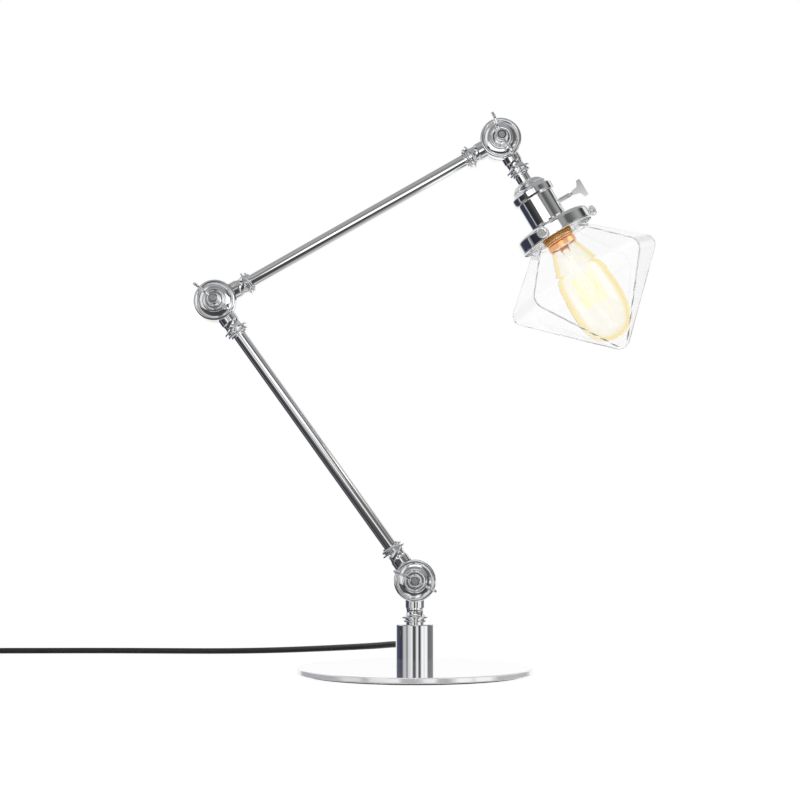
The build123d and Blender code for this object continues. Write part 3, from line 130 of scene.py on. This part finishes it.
def turn_radius(quarter):
    if quarter <= CLIMB_QUARTER:
        return COIL_RADIUS - COIL_PITCH * quarter / 4
    return INNER_RADIUS - COIL_PITCH / 4 + COIL_PITCH * (quarter - HIGH_QUARTER) / 4


def turn_height(quarter):
    climbed = (quarter - LOW_QUARTERS) / (HIGH_QUARTER - LOW_QUARTERS)
    return LOW_LAYER + (HIGH_LAYER - LOW_LAYER) * min(max(climbed, 0), 1)


def turn_azimuth(quarter):
    return math.radians(COIL_START + 90 * quarter)


def turn_heading(quarter):
    azimuth = turn_azimuth(quarter)
    return Vector((-math.sin(azimuth), math.cos(azimuth), 0))


def turn_point(quarter, outward=1.0):
    azimuth = turn_azimuth(quarter)
    reach = turn_radius(quarter) * outward
    x = COIL_MIDDLE[0] + reach * math.cos(azimuth)
    y = COIL_MIDDLE[1] + reach * math.sin(azimuth)
    return Vector((x, y, turn_height(quarter)))


lead_in = turn_point(0) - turn_heading(0) * CORD_DIAMETER
route += [lead_in - turn_heading(0) * STRAIGHT_IN, lead_in]
steps = int(LAST_QUARTER / POINT_STEP)
route += [turn_point((step + 0.5) * POINT_STEP, STANDS_OUT) for step in range(steps)]
tail_start = turn_point(LAST_QUARTER)
tail_way = turn_heading(LAST_QUARTER)
tail_end = Vector((tail_start.x, tail_start.y, TAIL_HEIGHT)) + tail_way * TAIL_LENGTH
route += [tail_start, tail_end, tail_end + tail_way * CORD_DIAMETER]
print("points in all:", len(route))

# %% [markdown]
# One round line
#
# A curve's thickness is its bevel depth times the radius of its points. Blender adds that radius to
# the curve's box as it stands, so the points carry the real radius and the depth is one. With the
# usual radius of one metre, the box of a thin cord would be two metres wide. The lead is left out of
# reflected rays, which keeps the mirror of the plate as clean as it is in the picture.

# %% Make the cord from its points
MM = 0.001
CURVE_ORDER = 3
STEPS_ALONG = 6
STEPS_ROUND = 5

cord_line = bpy.data.curves.new("cord_lead", "CURVE")
cord_line.dimensions = "3D"
spline = cord_line.splines.new("NURBS")
spline.points.add(len(route) - 1)
for point, place in zip(spline.points, route):
    point.co = (*(place * MM), 1)
    point.radius = CORD_DIAMETER / 2 * MM
spline.order_u = CURVE_ORDER
spline.use_endpoint_u = True
spline.resolution_u = STEPS_ALONG
cord_line.bevel_depth = 1.0
cord_line.bevel_resolution = STEPS_ROUND
cord_line.use_fill_caps = True
cord_lead = bpy.data.objects.new("cord_lead", cord_line)
cord_lead.visible_glossy = False
scene.collection.objects.link(cord_lead)
print("cord made of", len(spline.points), "points")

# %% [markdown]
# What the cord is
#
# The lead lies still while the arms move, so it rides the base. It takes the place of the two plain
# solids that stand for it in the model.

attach(cord_lead, "base")
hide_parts("cord_run", "cord_coil")

# %% [markdown]
# Shading sums as plain maths
#
# A finish is a small sum: a base value plus a little noise, times a mask. Blender draws that as
# Math nodes. One class holds a socket and turns plus, minus, times and divide into those nodes, so
# each finish below reads as a formula. Any other node comes from the method called node: it makes the
# node, sets it up and fills or links its sockets.

# %% A value that flows through a node tree
class Flow:
    def __init__(self, tree, socket=None):
        self.tree = tree
        self.socket = socket

    def node(self, kind, settings=None, sockets=None, out=0):
        made = self.tree.nodes.new("ShaderNode" + kind)
        for name, value in (settings or {}).items():
            if name == "stops":
                ramp = made.color_ramp.elements
                while len(ramp) < len(value):
                    ramp.new(1.0)
                for stop, (place, colour) in zip(ramp, value):
                    stop.position = place
                    stop.color = colour
            else:
                setattr(made, name, value)
        for name, value in (sockets or {}).items():
            if isinstance(value, Flow):
                self.tree.links.new(value.socket, made.inputs[name])
            else:
                made.inputs[name].default_value = value
        return Flow(self.tree, made.outputs[out] if made.outputs else None)

    def maths(self, operation, first, second):
        return self.node("Math", {"operation": operation}, {0: first, 1: second})

    def __add__(self, other):
        return self.maths("ADD", self, other)

    def __radd__(self, other):
        return self.maths("ADD", other, self)

    def __sub__(self, other):
        return self.maths("SUBTRACT", self, other)

    def __rsub__(self, other):
        return self.maths("SUBTRACT", other, self)

    def __mul__(self, other):
        return self.maths("MULTIPLY", self, other)

    def __rmul__(self, other):
        return self.maths("MULTIPLY", other, self)

    def __truediv__(self, other):
        return self.maths("DIVIDE", self, other)

    def __rtruediv__(self, other):
        return self.maths("DIVIDE", other, self)


print("methods of a flow:", [name for name in vars(Flow) if not name.startswith("__")])

# %% [markdown]
# The studio round the lamp
#
# Polished chrome has almost no colour of its own: what we see is the studio in it. A product
# studio is a white sweep with dark cards and open doorways round it, and those draw the black,
# navy and grey stripes down each tube. Real cards would stand in the way of other views, so the
# world holds them for reflected rays alone. A band of cards is a list of angles, each with how
# bright it is there, and the darkest cards on the left have a cast of navy.

# %% Cards round the studio, as degrees to the right of the camera and how bright they are
HORIZON_CARDS = [
    (-180, 1.0), (-150, 0.95), (-142, 0.22), (-134, 0.10), (-86, 0.045), (-79, 0.20), (-71, 0.55),
    (-55, 0.50), (-51, 0.16), (-47, 0.16), (-43, 0.60), (-17, 0.88), (-12, 0.10), (-1, 0.06),
    (5, 0.30), (9, 0.80), (18, 0.85), (22, 0.08), (31, 0.06), (37, 0.55), (42, 1.0), (54, 0.95),
    (57, 0.55), (60, 0.95), (75, 1.0), (87, 0.15), (134, 0.22), (141, 0.40), (149, 1.0), (180, 1.0),
]
LOW_CARDS = [
    (-180, 1.0), (-150, 0.85), (-143, 0.25), (-136, 0.05), (-99, 0.05), (-95, 0.30), (-88, 0.30),
    (-84, 0.025), (-58, 0.04), (-45, 0.09), (0, 0.055), (32, 0.07), (52, 0.24), (90, 0.42),
    (122, 0.66), (138, 0.74), (149, 1.0), (180, 1.0),
]
MIDDLE_CARDS = [
    (-180, 1.0), (-150, 0.95), (-142, 0.30), (-134, 0.15), (-86, 0.08), (-79, 0.20), (-71, 0.40),
    (-55, 0.38), (-50, 0.18), (-43, 0.60), (-30, 0.90), (-14, 0.90), (-9, 0.10), (12, 0.10),
    (22, 0.09), (31, 0.08), (38, 0.30), (44, 0.45), (75, 0.50), (87, 0.20), (134, 0.25), (141, 0.50),
    (149, 1.0), (180, 1.0),
]
HIGH_CARDS = [
    (-180, 1.0), (-150, 0.90), (-143, 0.70), (-135, 0.60), (-118, 0.60), (-112, 0.70), (-100, 0.90),
    (-88, 0.90), (-80, 0.15), (-62, 0.04), (-54, 0.10), (-46, 0.75), (-34, 0.95), (-26, 0.30),
    (-14, 0.22), (18, 0.33), (24, 0.28), (29, 0.11), (41, 0.12), (52, 0.18), (64, 0.29), (80, 0.37),
    (90, 0.25), (100, 0.05), (116, 0.05), (124, 0.80), (140, 0.90), (148, 0.30), (156, 0.50),
    (166, 1.0), (180, 1.0),
]
NAVY_SIDE = (-150.0, -60.0)
NAVY_BELOW = 0.15
NAVY = (0.82, 0.90, 1.45, 1.0)
WHITE = (1.0, 1.0, 1.0, 1.0)


def share_of_turn(degrees):
    return degrees / 360 + 0.5


def card_stops(cards):
    stops = []
    for degrees, bright in cards:
        on_navy_side = NAVY_SIDE[0] < degrees < NAVY_SIDE[1]
        cast = NAVY if on_navy_side and bright < NAVY_BELOW else WHITE
        red, green, blue = [bright * part for part in cast[:3]]
        stops.append((share_of_turn(degrees), (red, green, blue, 1.0)))
    return stops


print("cards:", len(LOW_CARDS), len(HORIZON_CARDS), len(MIDDLE_CARDS), len(HIGH_CARDS))

# %% [markdown]
# From a direction to a place on the cards
#
# The world is asked for a colour in one direction at a time. We turn that direction into an angle
# round the lamp and a height, and write down two helpers: one mixes two colours, and one climbs
# smoothly from nothing to all between two values, which gives every band and card a soft edge.

# %% Start the world
world = bpy.data.worlds.new("studio")
scene.world = world
world.use_nodes = True
world.node_tree.nodes.clear()

sky = Flow(world.node_tree)
way = sky.node("TexCoord", out="Generated")
x, y, z = [sky.node("SeparateXYZ", sockets={0: way}, out=axis) for axis in range(3)]
turn = sky.maths("ARCTAN2", x, 0 - y) / (2 * math.pi) + 0.5


def mixed(flow, factor, first, second):
    return flow.node("Mix", {"data_type": "RGBA"}, {"Factor": factor, 6: first, 7: second}, out=2)


def between(flow, value, low, high):
    return flow.node("MapRange", {"interpolation_type": "SMOOTHSTEP"},
                     {"Value": value, "From Min": low, "From Max": high})


def between_heights(low, high):
    return between(sky, z, math.sin(math.radians(low)), math.sin(math.radians(high)))


def between_turns(low, high):
    return between(sky, turn, share_of_turn(low), share_of_turn(high))


print("nodes that read the direction:", len(world.node_tree.nodes))

# %% [markdown]
# Bands and screens
#
# Four bands of cards stand one above the other, and each change of band is given by the heights in
# degrees where it starts and ends. In front of the lamp hang a white screen, which draws the white
# line down every tube, and two dark hoods, which are the dark middles of the upper knuckles. A screen
# is given by the angles where it starts, is full, is still full and ends, across and up. A grey
# ceiling and a grey table close the sphere.

# %% Stack the bands
TO_HORIZON = (-10, -7)
TO_MIDDLE = (-2.5, -0.5)
TO_HIGH = (6, 9)
TO_CEILING = (36, 52)
TO_TABLE = (-46, -60)
CEILING = (0.36, 0.365, 0.37, 1.0)
TABLE_TOP = (0.50, 0.49, 0.48, 1.0)
HOOD = (0.05, 0.05, 0.055, 1.0)
SCREENS = [
    (WHITE, (-6, -3, 11, 15), (0.5, 2.5, 12.7, 14.7)),
    (HOOD, (-17, -14, -9, -6), (5, 7, 13, 16)),
    (HOOD, (-4, -1, 8, 12), (14.5, 15.5, 19, 22)),
]

low, horizon, middle, high = [
    sky.node("ValToRGB", {"stops": card_stops(cards)}, {"Fac": turn})
    for cards in (LOW_CARDS, HORIZON_CARDS, MIDDLE_CARDS, HIGH_CARDS)
]
studio = mixed(sky, between_heights(*TO_HORIZON), low, horizon)
studio = mixed(sky, between_heights(*TO_MIDDLE), studio, middle)
studio = mixed(sky, between_heights(*TO_HIGH), studio, high)
for shade, turns, heights in SCREENS:
    rises = between_turns(*turns[:2]) * between_heights(*heights[:2])
    falls = between_turns(*turns[:1:-1]) * between_heights(*heights[:1:-1])
    studio = mixed(sky, rises * falls, studio, shade)
studio = mixed(sky, between_heights(*TO_CEILING), studio, CEILING)
studio = mixed(sky, between_heights(*TO_TABLE), studio, TABLE_TOP)
print("bands: 4, screens:", len(SCREENS))

# %% [markdown]
# Who sees what
#
# Light Path tells the rays apart. Mirrored rays see the cards, and a ray that was mirrored twice, as
# between plate and stem, sees the band of the horizon alone. Rays through glass see white under a
# pale grey ceiling, which gives the facets their fine dark edges. The camera sees plain white, and
# every other ray, which only lights the matt pieces, sees an even room.

# %% Share the world out
ROOM_LIGHT = (0.75, 0.75, 0.75, 1.0)
GLASS_CEILING = (0.80, 0.81, 0.82, 1.0)
TO_GLASS_CEILING = (34, 55)

mirrored_again = sky.node("LightPath", out="Glossy Depth") - 1
studio = mixed(sky, mirrored_again, studio, horizon)
through = mixed(sky, between_heights(*TO_GLASS_CEILING), WHITE, GLASS_CEILING)
seen = mixed(sky, sky.node("LightPath", out="Is Glossy Ray"), ROOM_LIGHT, studio)
seen = mixed(sky, sky.node("LightPath", out="Is Transmission Ray"), seen, through)
seen = mixed(sky, sky.node("LightPath", out="Is Camera Ray"), seen, WHITE)
background = sky.node("Background", sockets={"Color": seen, "Strength": 1.0})
sky.node("OutputWorld", sockets={"Surface": background})
print("world nodes:", len(world.node_tree.nodes))

# %% [markdown]
# The floor
#
# The lamp stands on a plain pale sweep. To the camera and through glass the floor is nearly all
# white light, with a thin share of real paint that keeps the shadow under the plate. Chrome sees
# the world's cards instead, so the floor is left out of reflected rays.

# %% Lay the floor
FLOOR_REACH = 4.0
FLOOR_GLOW = 0.88
GLOW_STRENGTH = 1.06
PAINT = (0.82, 0.82, 0.82, 1.0)

corners = [(-1, -1), (1, -1), (1, 1), (-1, 1)]
places = [(FLOOR_REACH * right, FLOOR_REACH * back, 0) for right, back in corners]
floor_mesh = bpy.data.meshes.new("studio_floor")
floor_mesh.from_pydata(places, [], [(0, 1, 2, 3)])
floor = bpy.data.objects.new("studio_floor", floor_mesh)
floor.visible_glossy = False
scene.collection.objects.link(floor)


def new_finish(name):
    material = bpy.data.materials.new(name)
    material.use_nodes = True
    material.node_tree.nodes.clear()
    return material, Flow(material.node_tree)


floor_paint, flow = new_finish("pale_floor")
straight = flow.node("LightPath", out="Is Camera Ray")
through_glass = flow.node("LightPath", out="Is Transmission Ray")
matt = flow.node("BsdfDiffuse", sockets={"Color": PAINT})
glow = flow.node("Emission", sockets={"Color": WHITE, "Strength": GLOW_STRENGTH})
share = (straight + through_glass) * FLOOR_GLOW
surface = flow.node("MixShader", sockets={0: share, 1: matt, 2: glow})
flow.node("OutputMaterial", sockets={"Surface": surface})
floor_mesh.materials.append(floor_paint)
print("floor", 2 * FLOOR_REACH, "m wide")

# %% [markdown]
# The lamps
#
# Two large soft lamps light the cord and the dull pieces. Chrome does not mirror them, because it has
# the cards. A wide panel hangs close in front of the head, and this one is mirrored: it is the white
# patch on the holder and on the dish that carries the shade. Light has to pass many walls of glass on
# its way through shade and bulb, so it may bounce often.

# %% Hang the lamps
AIM = Vector((0, 0, 0.2))
PANEL_AIM = Vector((0.012, 0, 0.407))
LAMPS = [
    ("soft_left", (-1.2, -1.1, 1.7), (1.4, 1.4), 9.0, AIM, False),
    ("soft_right", (1.3, -0.7, 1.5), (1.2, 1.2), 6.0, AIM, False),
    ("panel", (0.012, -0.35, 0.407), (0.285, 0.145), 0.136, PANEL_AIM, True),
]
BOUNCES = 32

for name, place, size, power, aim, mirrored in LAMPS:
    light = bpy.data.lights.new(name, "AREA")
    light.shape = "RECTANGLE"
    light.size, light.size_y = size
    light.energy = power
    lamp = bpy.data.objects.new(name, light)
    lamp.location = place
    lamp.rotation_euler = (aim - lamp.location).to_track_quat("-Z", "Y").to_euler()
    lamp.visible_glossy = mirrored
    lamp.visible_camera = False
    scene.collection.objects.link(lamp)
scene.cycles.max_bounces = BOUNCES
scene.cycles.transmission_bounces = BOUNCES
scene.cycles.glossy_bounces = BOUNCES
print("lamps:", [lamp[0] for lamp in LAMPS])

# %% [markdown]
# Polished chrome
#
# The stem, knuckles, tubes and holder are polished and chromed. Chrome is a mirror with a trace of
# grey in it, and what makes it look real is what breaks the mirror: a faint haze where hands have
# been, and the slight waves that polishing leaves. Both are soft noise, one on the roughness and one
# on the bump, with a hair of blue grey in the colour.

# %% Chrome
def made_of(flow, sockets, volume=None):
    body = flow.node("BsdfPrincipled", sockets=sockets)
    ends = {"Surface": body}
    if volume is not None:
        ends["Volume"] = volume
    flow.node("OutputMaterial", sockets=ends)


def grain(flow, scale, detail=3.0, stretch=None):
    place = flow.node("TexCoord", out="Object")
    if stretch is not None:
        place = flow.node("VectorMath", {"operation": "MULTIPLY"}, {0: place, 1: stretch})
    return flow.node("TexNoise", sockets={"Vector": place, "Scale": scale, "Detail": detail})


def bumped(flow, height, strength, depth):
    return flow.node("Bump", sockets={"Height": height, "Strength": strength, "Distance": depth})


chrome, flow = new_finish("polished_chrome")
haze = grain(flow, 55.0)
waves = grain(flow, 30.0, 1.0)
made_of(flow, {
    "Base Color": mixed(flow, haze, (0.90, 0.905, 0.92, 1), (0.96, 0.965, 0.975, 1)),
    "Metallic": 1.0,
    "Roughness": 0.01 + 0.04 * haze,
    "Normal": bumped(flow, waves, 0.05, 0.0006),
})
print("chrome roughness from 0.01 to 0.05")

# %% [markdown]
# The plate and its pale rim
#
# The plate is a mirror on top, where the stem stands on its own reflection, under a clear lacquer
# that has gone a little milky, so it stays pale even where it mirrors a dark card. On the turned rim
# the lacquer lies thicker, and the studio's stripes show white and light grey. The milk is a share
# of pale matt skin, larger wherever the surface does not look up, and the mirror is the rest.

# %% Plate
RIM_MILK = 0.5
TOP_MILK = 0.12
RIM_SLOPES = (0.98, 0.80)

plate_finish, flow = new_finish("plate_chrome")
haze = grain(flow, 90.0)
facing_up = flow.node("SeparateXYZ", sockets={0: flow.node("NewGeometry", out="Normal")}, out=2)
side = between(flow, facing_up, *RIM_SLOPES)
made_of(flow, {
    "Base Color": mixed(flow, haze, (0.95, 0.95, 0.97, 1), (0.975, 0.97, 0.99, 1)),
    "Metallic": 1 - TOP_MILK - (RIM_MILK - TOP_MILK) * side,
    "Roughness": 0.01 + 0.02 * haze + 0.05 * side,
})
print("milky share of the plate:", TOP_MILK, "on top and", RIM_MILK, "on the rim")

# %% [markdown]
# Tumbled nickel
#
# The thumb screws are small turned pieces. They are tumbled in a drum and nickel plated, not polished
# by hand, so they are paler and softer than the chrome behind them and stand out from it. A matt
# share lifts the darks, and a fine noise keeps the sheen from being even.

# %% Nickel
NICKEL_MATT = 0.35

nickel, flow = new_finish("tumbled_nickel")
tumble = grain(flow, 700.0)
made_of(flow, {
    "Base Color": mixed(flow, tumble, (0.88, 0.875, 0.865, 1), (0.96, 0.955, 0.945, 1)),
    "Metallic": 1 - NICKEL_MATT * (0.7 + 0.6 * tumble),
    "Roughness": 0.05 + 0.08 * tumble,
    "Normal": bumped(flow, tumble, 0.08, 0.00005),
})
print("nickel made, with a matt share of about", NICKEL_MATT)

# %% [markdown]
# Turned steel
#
# Bolts, nuts and the threaded pipe are plain steel. A lathe leaves fine lines and a softer shine
# than plating, so the roughness is higher and carries a fine streaky noise.

# %% Steel
LATHE_STRETCH = (1.0, 0.15, 1.0)

steel, flow = new_finish("turned_steel")
lines = grain(flow, 900.0, 2.0, LATHE_STRETCH)
made_of(flow, {
    "Base Color": mixed(flow, lines, (0.50, 0.50, 0.51, 1), (0.68, 0.68, 0.69, 1)),
    "Metallic": 1.0,
    "Roughness": 0.22 + 0.16 * lines,
    "Normal": bumped(flow, lines, 0.15, 0.0001),
})
print("steel made")

# %% [markdown]
# Brass
#
# The contacts and the screw shell are thin brass. Brass dulls unevenly, so a slow noise moves the
# colour from fresh yellow to a browner tone and makes it rougher there.

# %% Brass
brass, flow = new_finish("dull_brass")
tarnish = grain(flow, 120.0, 4.0)
made_of(flow, {
    "Base Color": mixed(flow, tarnish, (0.86, 0.60, 0.26, 1), (0.66, 0.40, 0.16, 1)),
    "Metallic": 1.0,
    "Roughness": 0.16 + 0.20 * tarnish,
    "Normal": bumped(flow, tarnish, 0.08, 0.0002),
})
print("brass made")

# %% [markdown]
# Cap of the bulb
#
# The rolled screw cap sits just inside the neck of the glass, lit through amber. It is thin brass
# with a coppery wash, redder than the contacts, and its rolled ridges are rubbed bright.

# %% Copper wash
copper_wash, flow = new_finish("copper_wash")
rubbed = grain(flow, 160.0, 4.0)
made_of(flow, {
    "Base Color": mixed(flow, rubbed, (0.78, 0.30, 0.10, 1), (0.95, 0.52, 0.24, 1)),
    "Metallic": 1.0,
    "Roughness": 0.14 + 0.18 * rubbed,
    "Normal": bumped(flow, rubbed, 0.08, 0.0002),
})
print("cap finish:", copper_wash.name)

# %% [markdown]
# Clear glass of the shade
#
# The shade is a hollow diamond of clear pressed glass. Clear glass shows by its edges: light that
# runs a long way inside a wall comes out a little grey, and a facet seen nearly edge on mirrors the
# room. So the surface is a plain refracting one, almost smooth, with the slight ripple of pressed
# glass, and a thin absorption inside the wall does the rest.

# %% Clear glass
GLASS_INDEX = 1.33
GLASS_GREY = (0.45, 0.52, 0.55, 1)
GLASS_DENSITY = 1.0

clear_glass, flow = new_finish("clear_glass")
ripple = grain(flow, 45.0, 1.0)
inside = flow.node("VolumeAbsorption", sockets={"Color": GLASS_GREY, "Density": GLASS_DENSITY})
made_of(flow, {
    "Base Color": (1.0, 1.0, 1.0, 1),
    "Roughness": 0.05 + 0.04 * ripple,
    "IOR": GLASS_INDEX,
    "Transmission Weight": 1.0,
    "Normal": bumped(flow, ripple, 0.04, 0.0004),
}, inside)
print("clear glass absorbs", GLASS_DENSITY, "per metre")

# %% [markdown]
# Amber glass of the bulb
#
# The bulb is blown from thin glass with an amber coat. Seen straight on it is nearly clear, and
# towards its sides, where we look along the wall, it turns gold. A thin wall holds too little
# glass for absorption alone to draw that broad band, so the coat's colour follows how far the
# wall turns from us, and a little absorption inside deepens the very edge.

# %% Amber glass
AMBER = (0.98, 0.81, 0.09, 1)
AMBER_DENSITY = 25.0
COAT_PALE = (1.0, 0.995, 0.965, 1)
COAT_GOLD = (1.0, 0.84, 0.42, 1)
BAND_START = 0.25
BAND_END = 0.60

amber_glass, flow = new_finish("amber_glass")
ripple = grain(flow, 60.0, 1.0)
inside = flow.node("VolumeAbsorption", sockets={"Color": AMBER, "Density": AMBER_DENSITY})
edge_on = flow.node("LayerWeight", sockets={"Blend": 0.5}, out="Facing")
band = between(flow, edge_on, BAND_START, BAND_END)
made_of(flow, {
    "Base Color": mixed(flow, band, COAT_PALE, COAT_GOLD),
    "Roughness": 0.006 * ripple,
    "IOR": GLASS_INDEX,
    "Transmission Weight": 1.0,
    "Normal": bumped(flow, ripple, 0.05, 0.0003),
}, inside)
print("amber glass absorbs", AMBER_DENSITY, "per metre")

# %% [markdown]
# Filament
#
# A squirrel cage of thin wire hangs between two glass hooks. It is tungsten, which looks dull and
# warm through amber glass. A faint warm glow lifts it out of the dark without lighting the bulb.

# %% Filament wire
filament_wire, flow = new_finish("filament_wire")
speck = grain(flow, 1500.0, 2.0)
made_of(flow, {
    "Base Color": mixed(flow, speck, (0.62, 0.36, 0.12, 1), (0.84, 0.55, 0.22, 1)),
    "Metallic": 1.0,
    "Roughness": 0.28 + 0.2 * speck,
    "Emission Color": mixed(flow, speck, (1.0, 0.62, 0.16, 1), (1.0, 0.76, 0.28, 1)),
    "Emission Strength": 1.1,
})
print("filament made")

# %% [markdown]
# Black lead, plug and tie
#
# The lead has a soft black plastic sheath. It is not pure black: a fine moulding grain catches
# the light and dust makes it greyer in patches, and both go into the colour, roughness and bump.

# %% Black plastic
black_plastic, flow = new_finish("black_plastic")
dust = grain(flow, 40.0, 4.0)
pores = grain(flow, 2500.0, 2.0)
made_of(flow, {
    "Base Color": mixed(flow, dust, (0.010, 0.010, 0.011, 1), (0.030, 0.030, 0.033, 1)),
    "Roughness": 0.30 + 0.20 * dust + 0.08 * pores,
    "Normal": bumped(flow, pores, 0.25, 0.00008),
})
cord_line.materials.append(black_plastic)
print("lead dressed in", cord_line.materials[0].name)

# %% [markdown]
# Pieces inside and underneath
#
# Wires, washers, the pad under the plate and the porcelain core hardly show, but they are seen in
# other views and when the lamp is taken apart. Each gets its own small formula from one helper:
# two tones, a roughness and a grain of the right size.

# %% Dull finishes
SPOT_ROUGHNESS = 0.15
SPOT_BUMP = 0.3


def dull(name, first, second, rough, scale, depth):
    material, flow = new_finish(name)
    spots = grain(flow, scale, 4.0)
    made_of(flow, {
        "Base Color": mixed(flow, spots, first, second),
        "Roughness": rough + SPOT_ROUGHNESS * spots,
        "Normal": bumped(flow, spots, SPOT_BUMP, depth),
    })
    return material


wire_cover = dull("wire_cover", (0.70, 0.66, 0.58, 1), (0.80, 0.77, 0.70, 1), 0.35, 700.0, 0.00005)
fibre = dull("pressed_fibre", (0.09, 0.08, 0.075, 1), (0.15, 0.13, 0.12, 1), 0.7, 1200.0, 0.0001)
felt_pad = dull("foot_pad", (0.018, 0.018, 0.018, 1), (0.05, 0.05, 0.05, 1), 0.8, 1800.0, 0.0003)
porcelain = dull("porcelain", (0.78, 0.76, 0.71, 1), (0.86, 0.84, 0.80, 1), 0.18, 90.0, 0.00005)
print("dull finishes:", [m.name for m in (wire_cover, fibre, felt_pad, porcelain)])

# %% [markdown]
# Dress the solids
#
# Each solid already names the kind of stuff it is made of. A table from that name to a finish
# dresses them all in one loop, so a new piece can never be left bare by mistake. A second, short
# table holds the few pieces with a finish of their own.

# %% Give every solid its finish
FINISHES = {
    "chrome": chrome,
    "steel": steel,
    "brass": brass,
    "black_cord": black_plastic,
    "wire_cover": wire_cover,
    "fibre": fibre,
    "pad": felt_pad,
    "core": porcelain,
    "clear_glass": clear_glass,
    "amber_glass": amber_glass,
    "filament_wire": filament_wire,
}

OWN_FINISH = {"thumb_screw_" + place: nickel for place in ("front", "right", "rear")}
OWN_FINISH.update({"base_plate": plate_finish, "bulb_cap": copper_wash})

dressed = {}
for part in frame["record"]["subparts"]:
    finish = OWN_FINISH.get(part["node"], FINISHES[part["material_slot"]])
    solid = frame["nodes"][part["node"]]
    solid.data.materials.clear()
    solid.data.materials.append(finish)
    dressed[finish.name] = dressed.get(finish.name, 0) + 1
print("dressed:", dressed)

# %% [markdown]
# Colour
#
# The standard view shows colours as they are written.

# %% Finish
scene.view_settings.view_transform = "Standard"
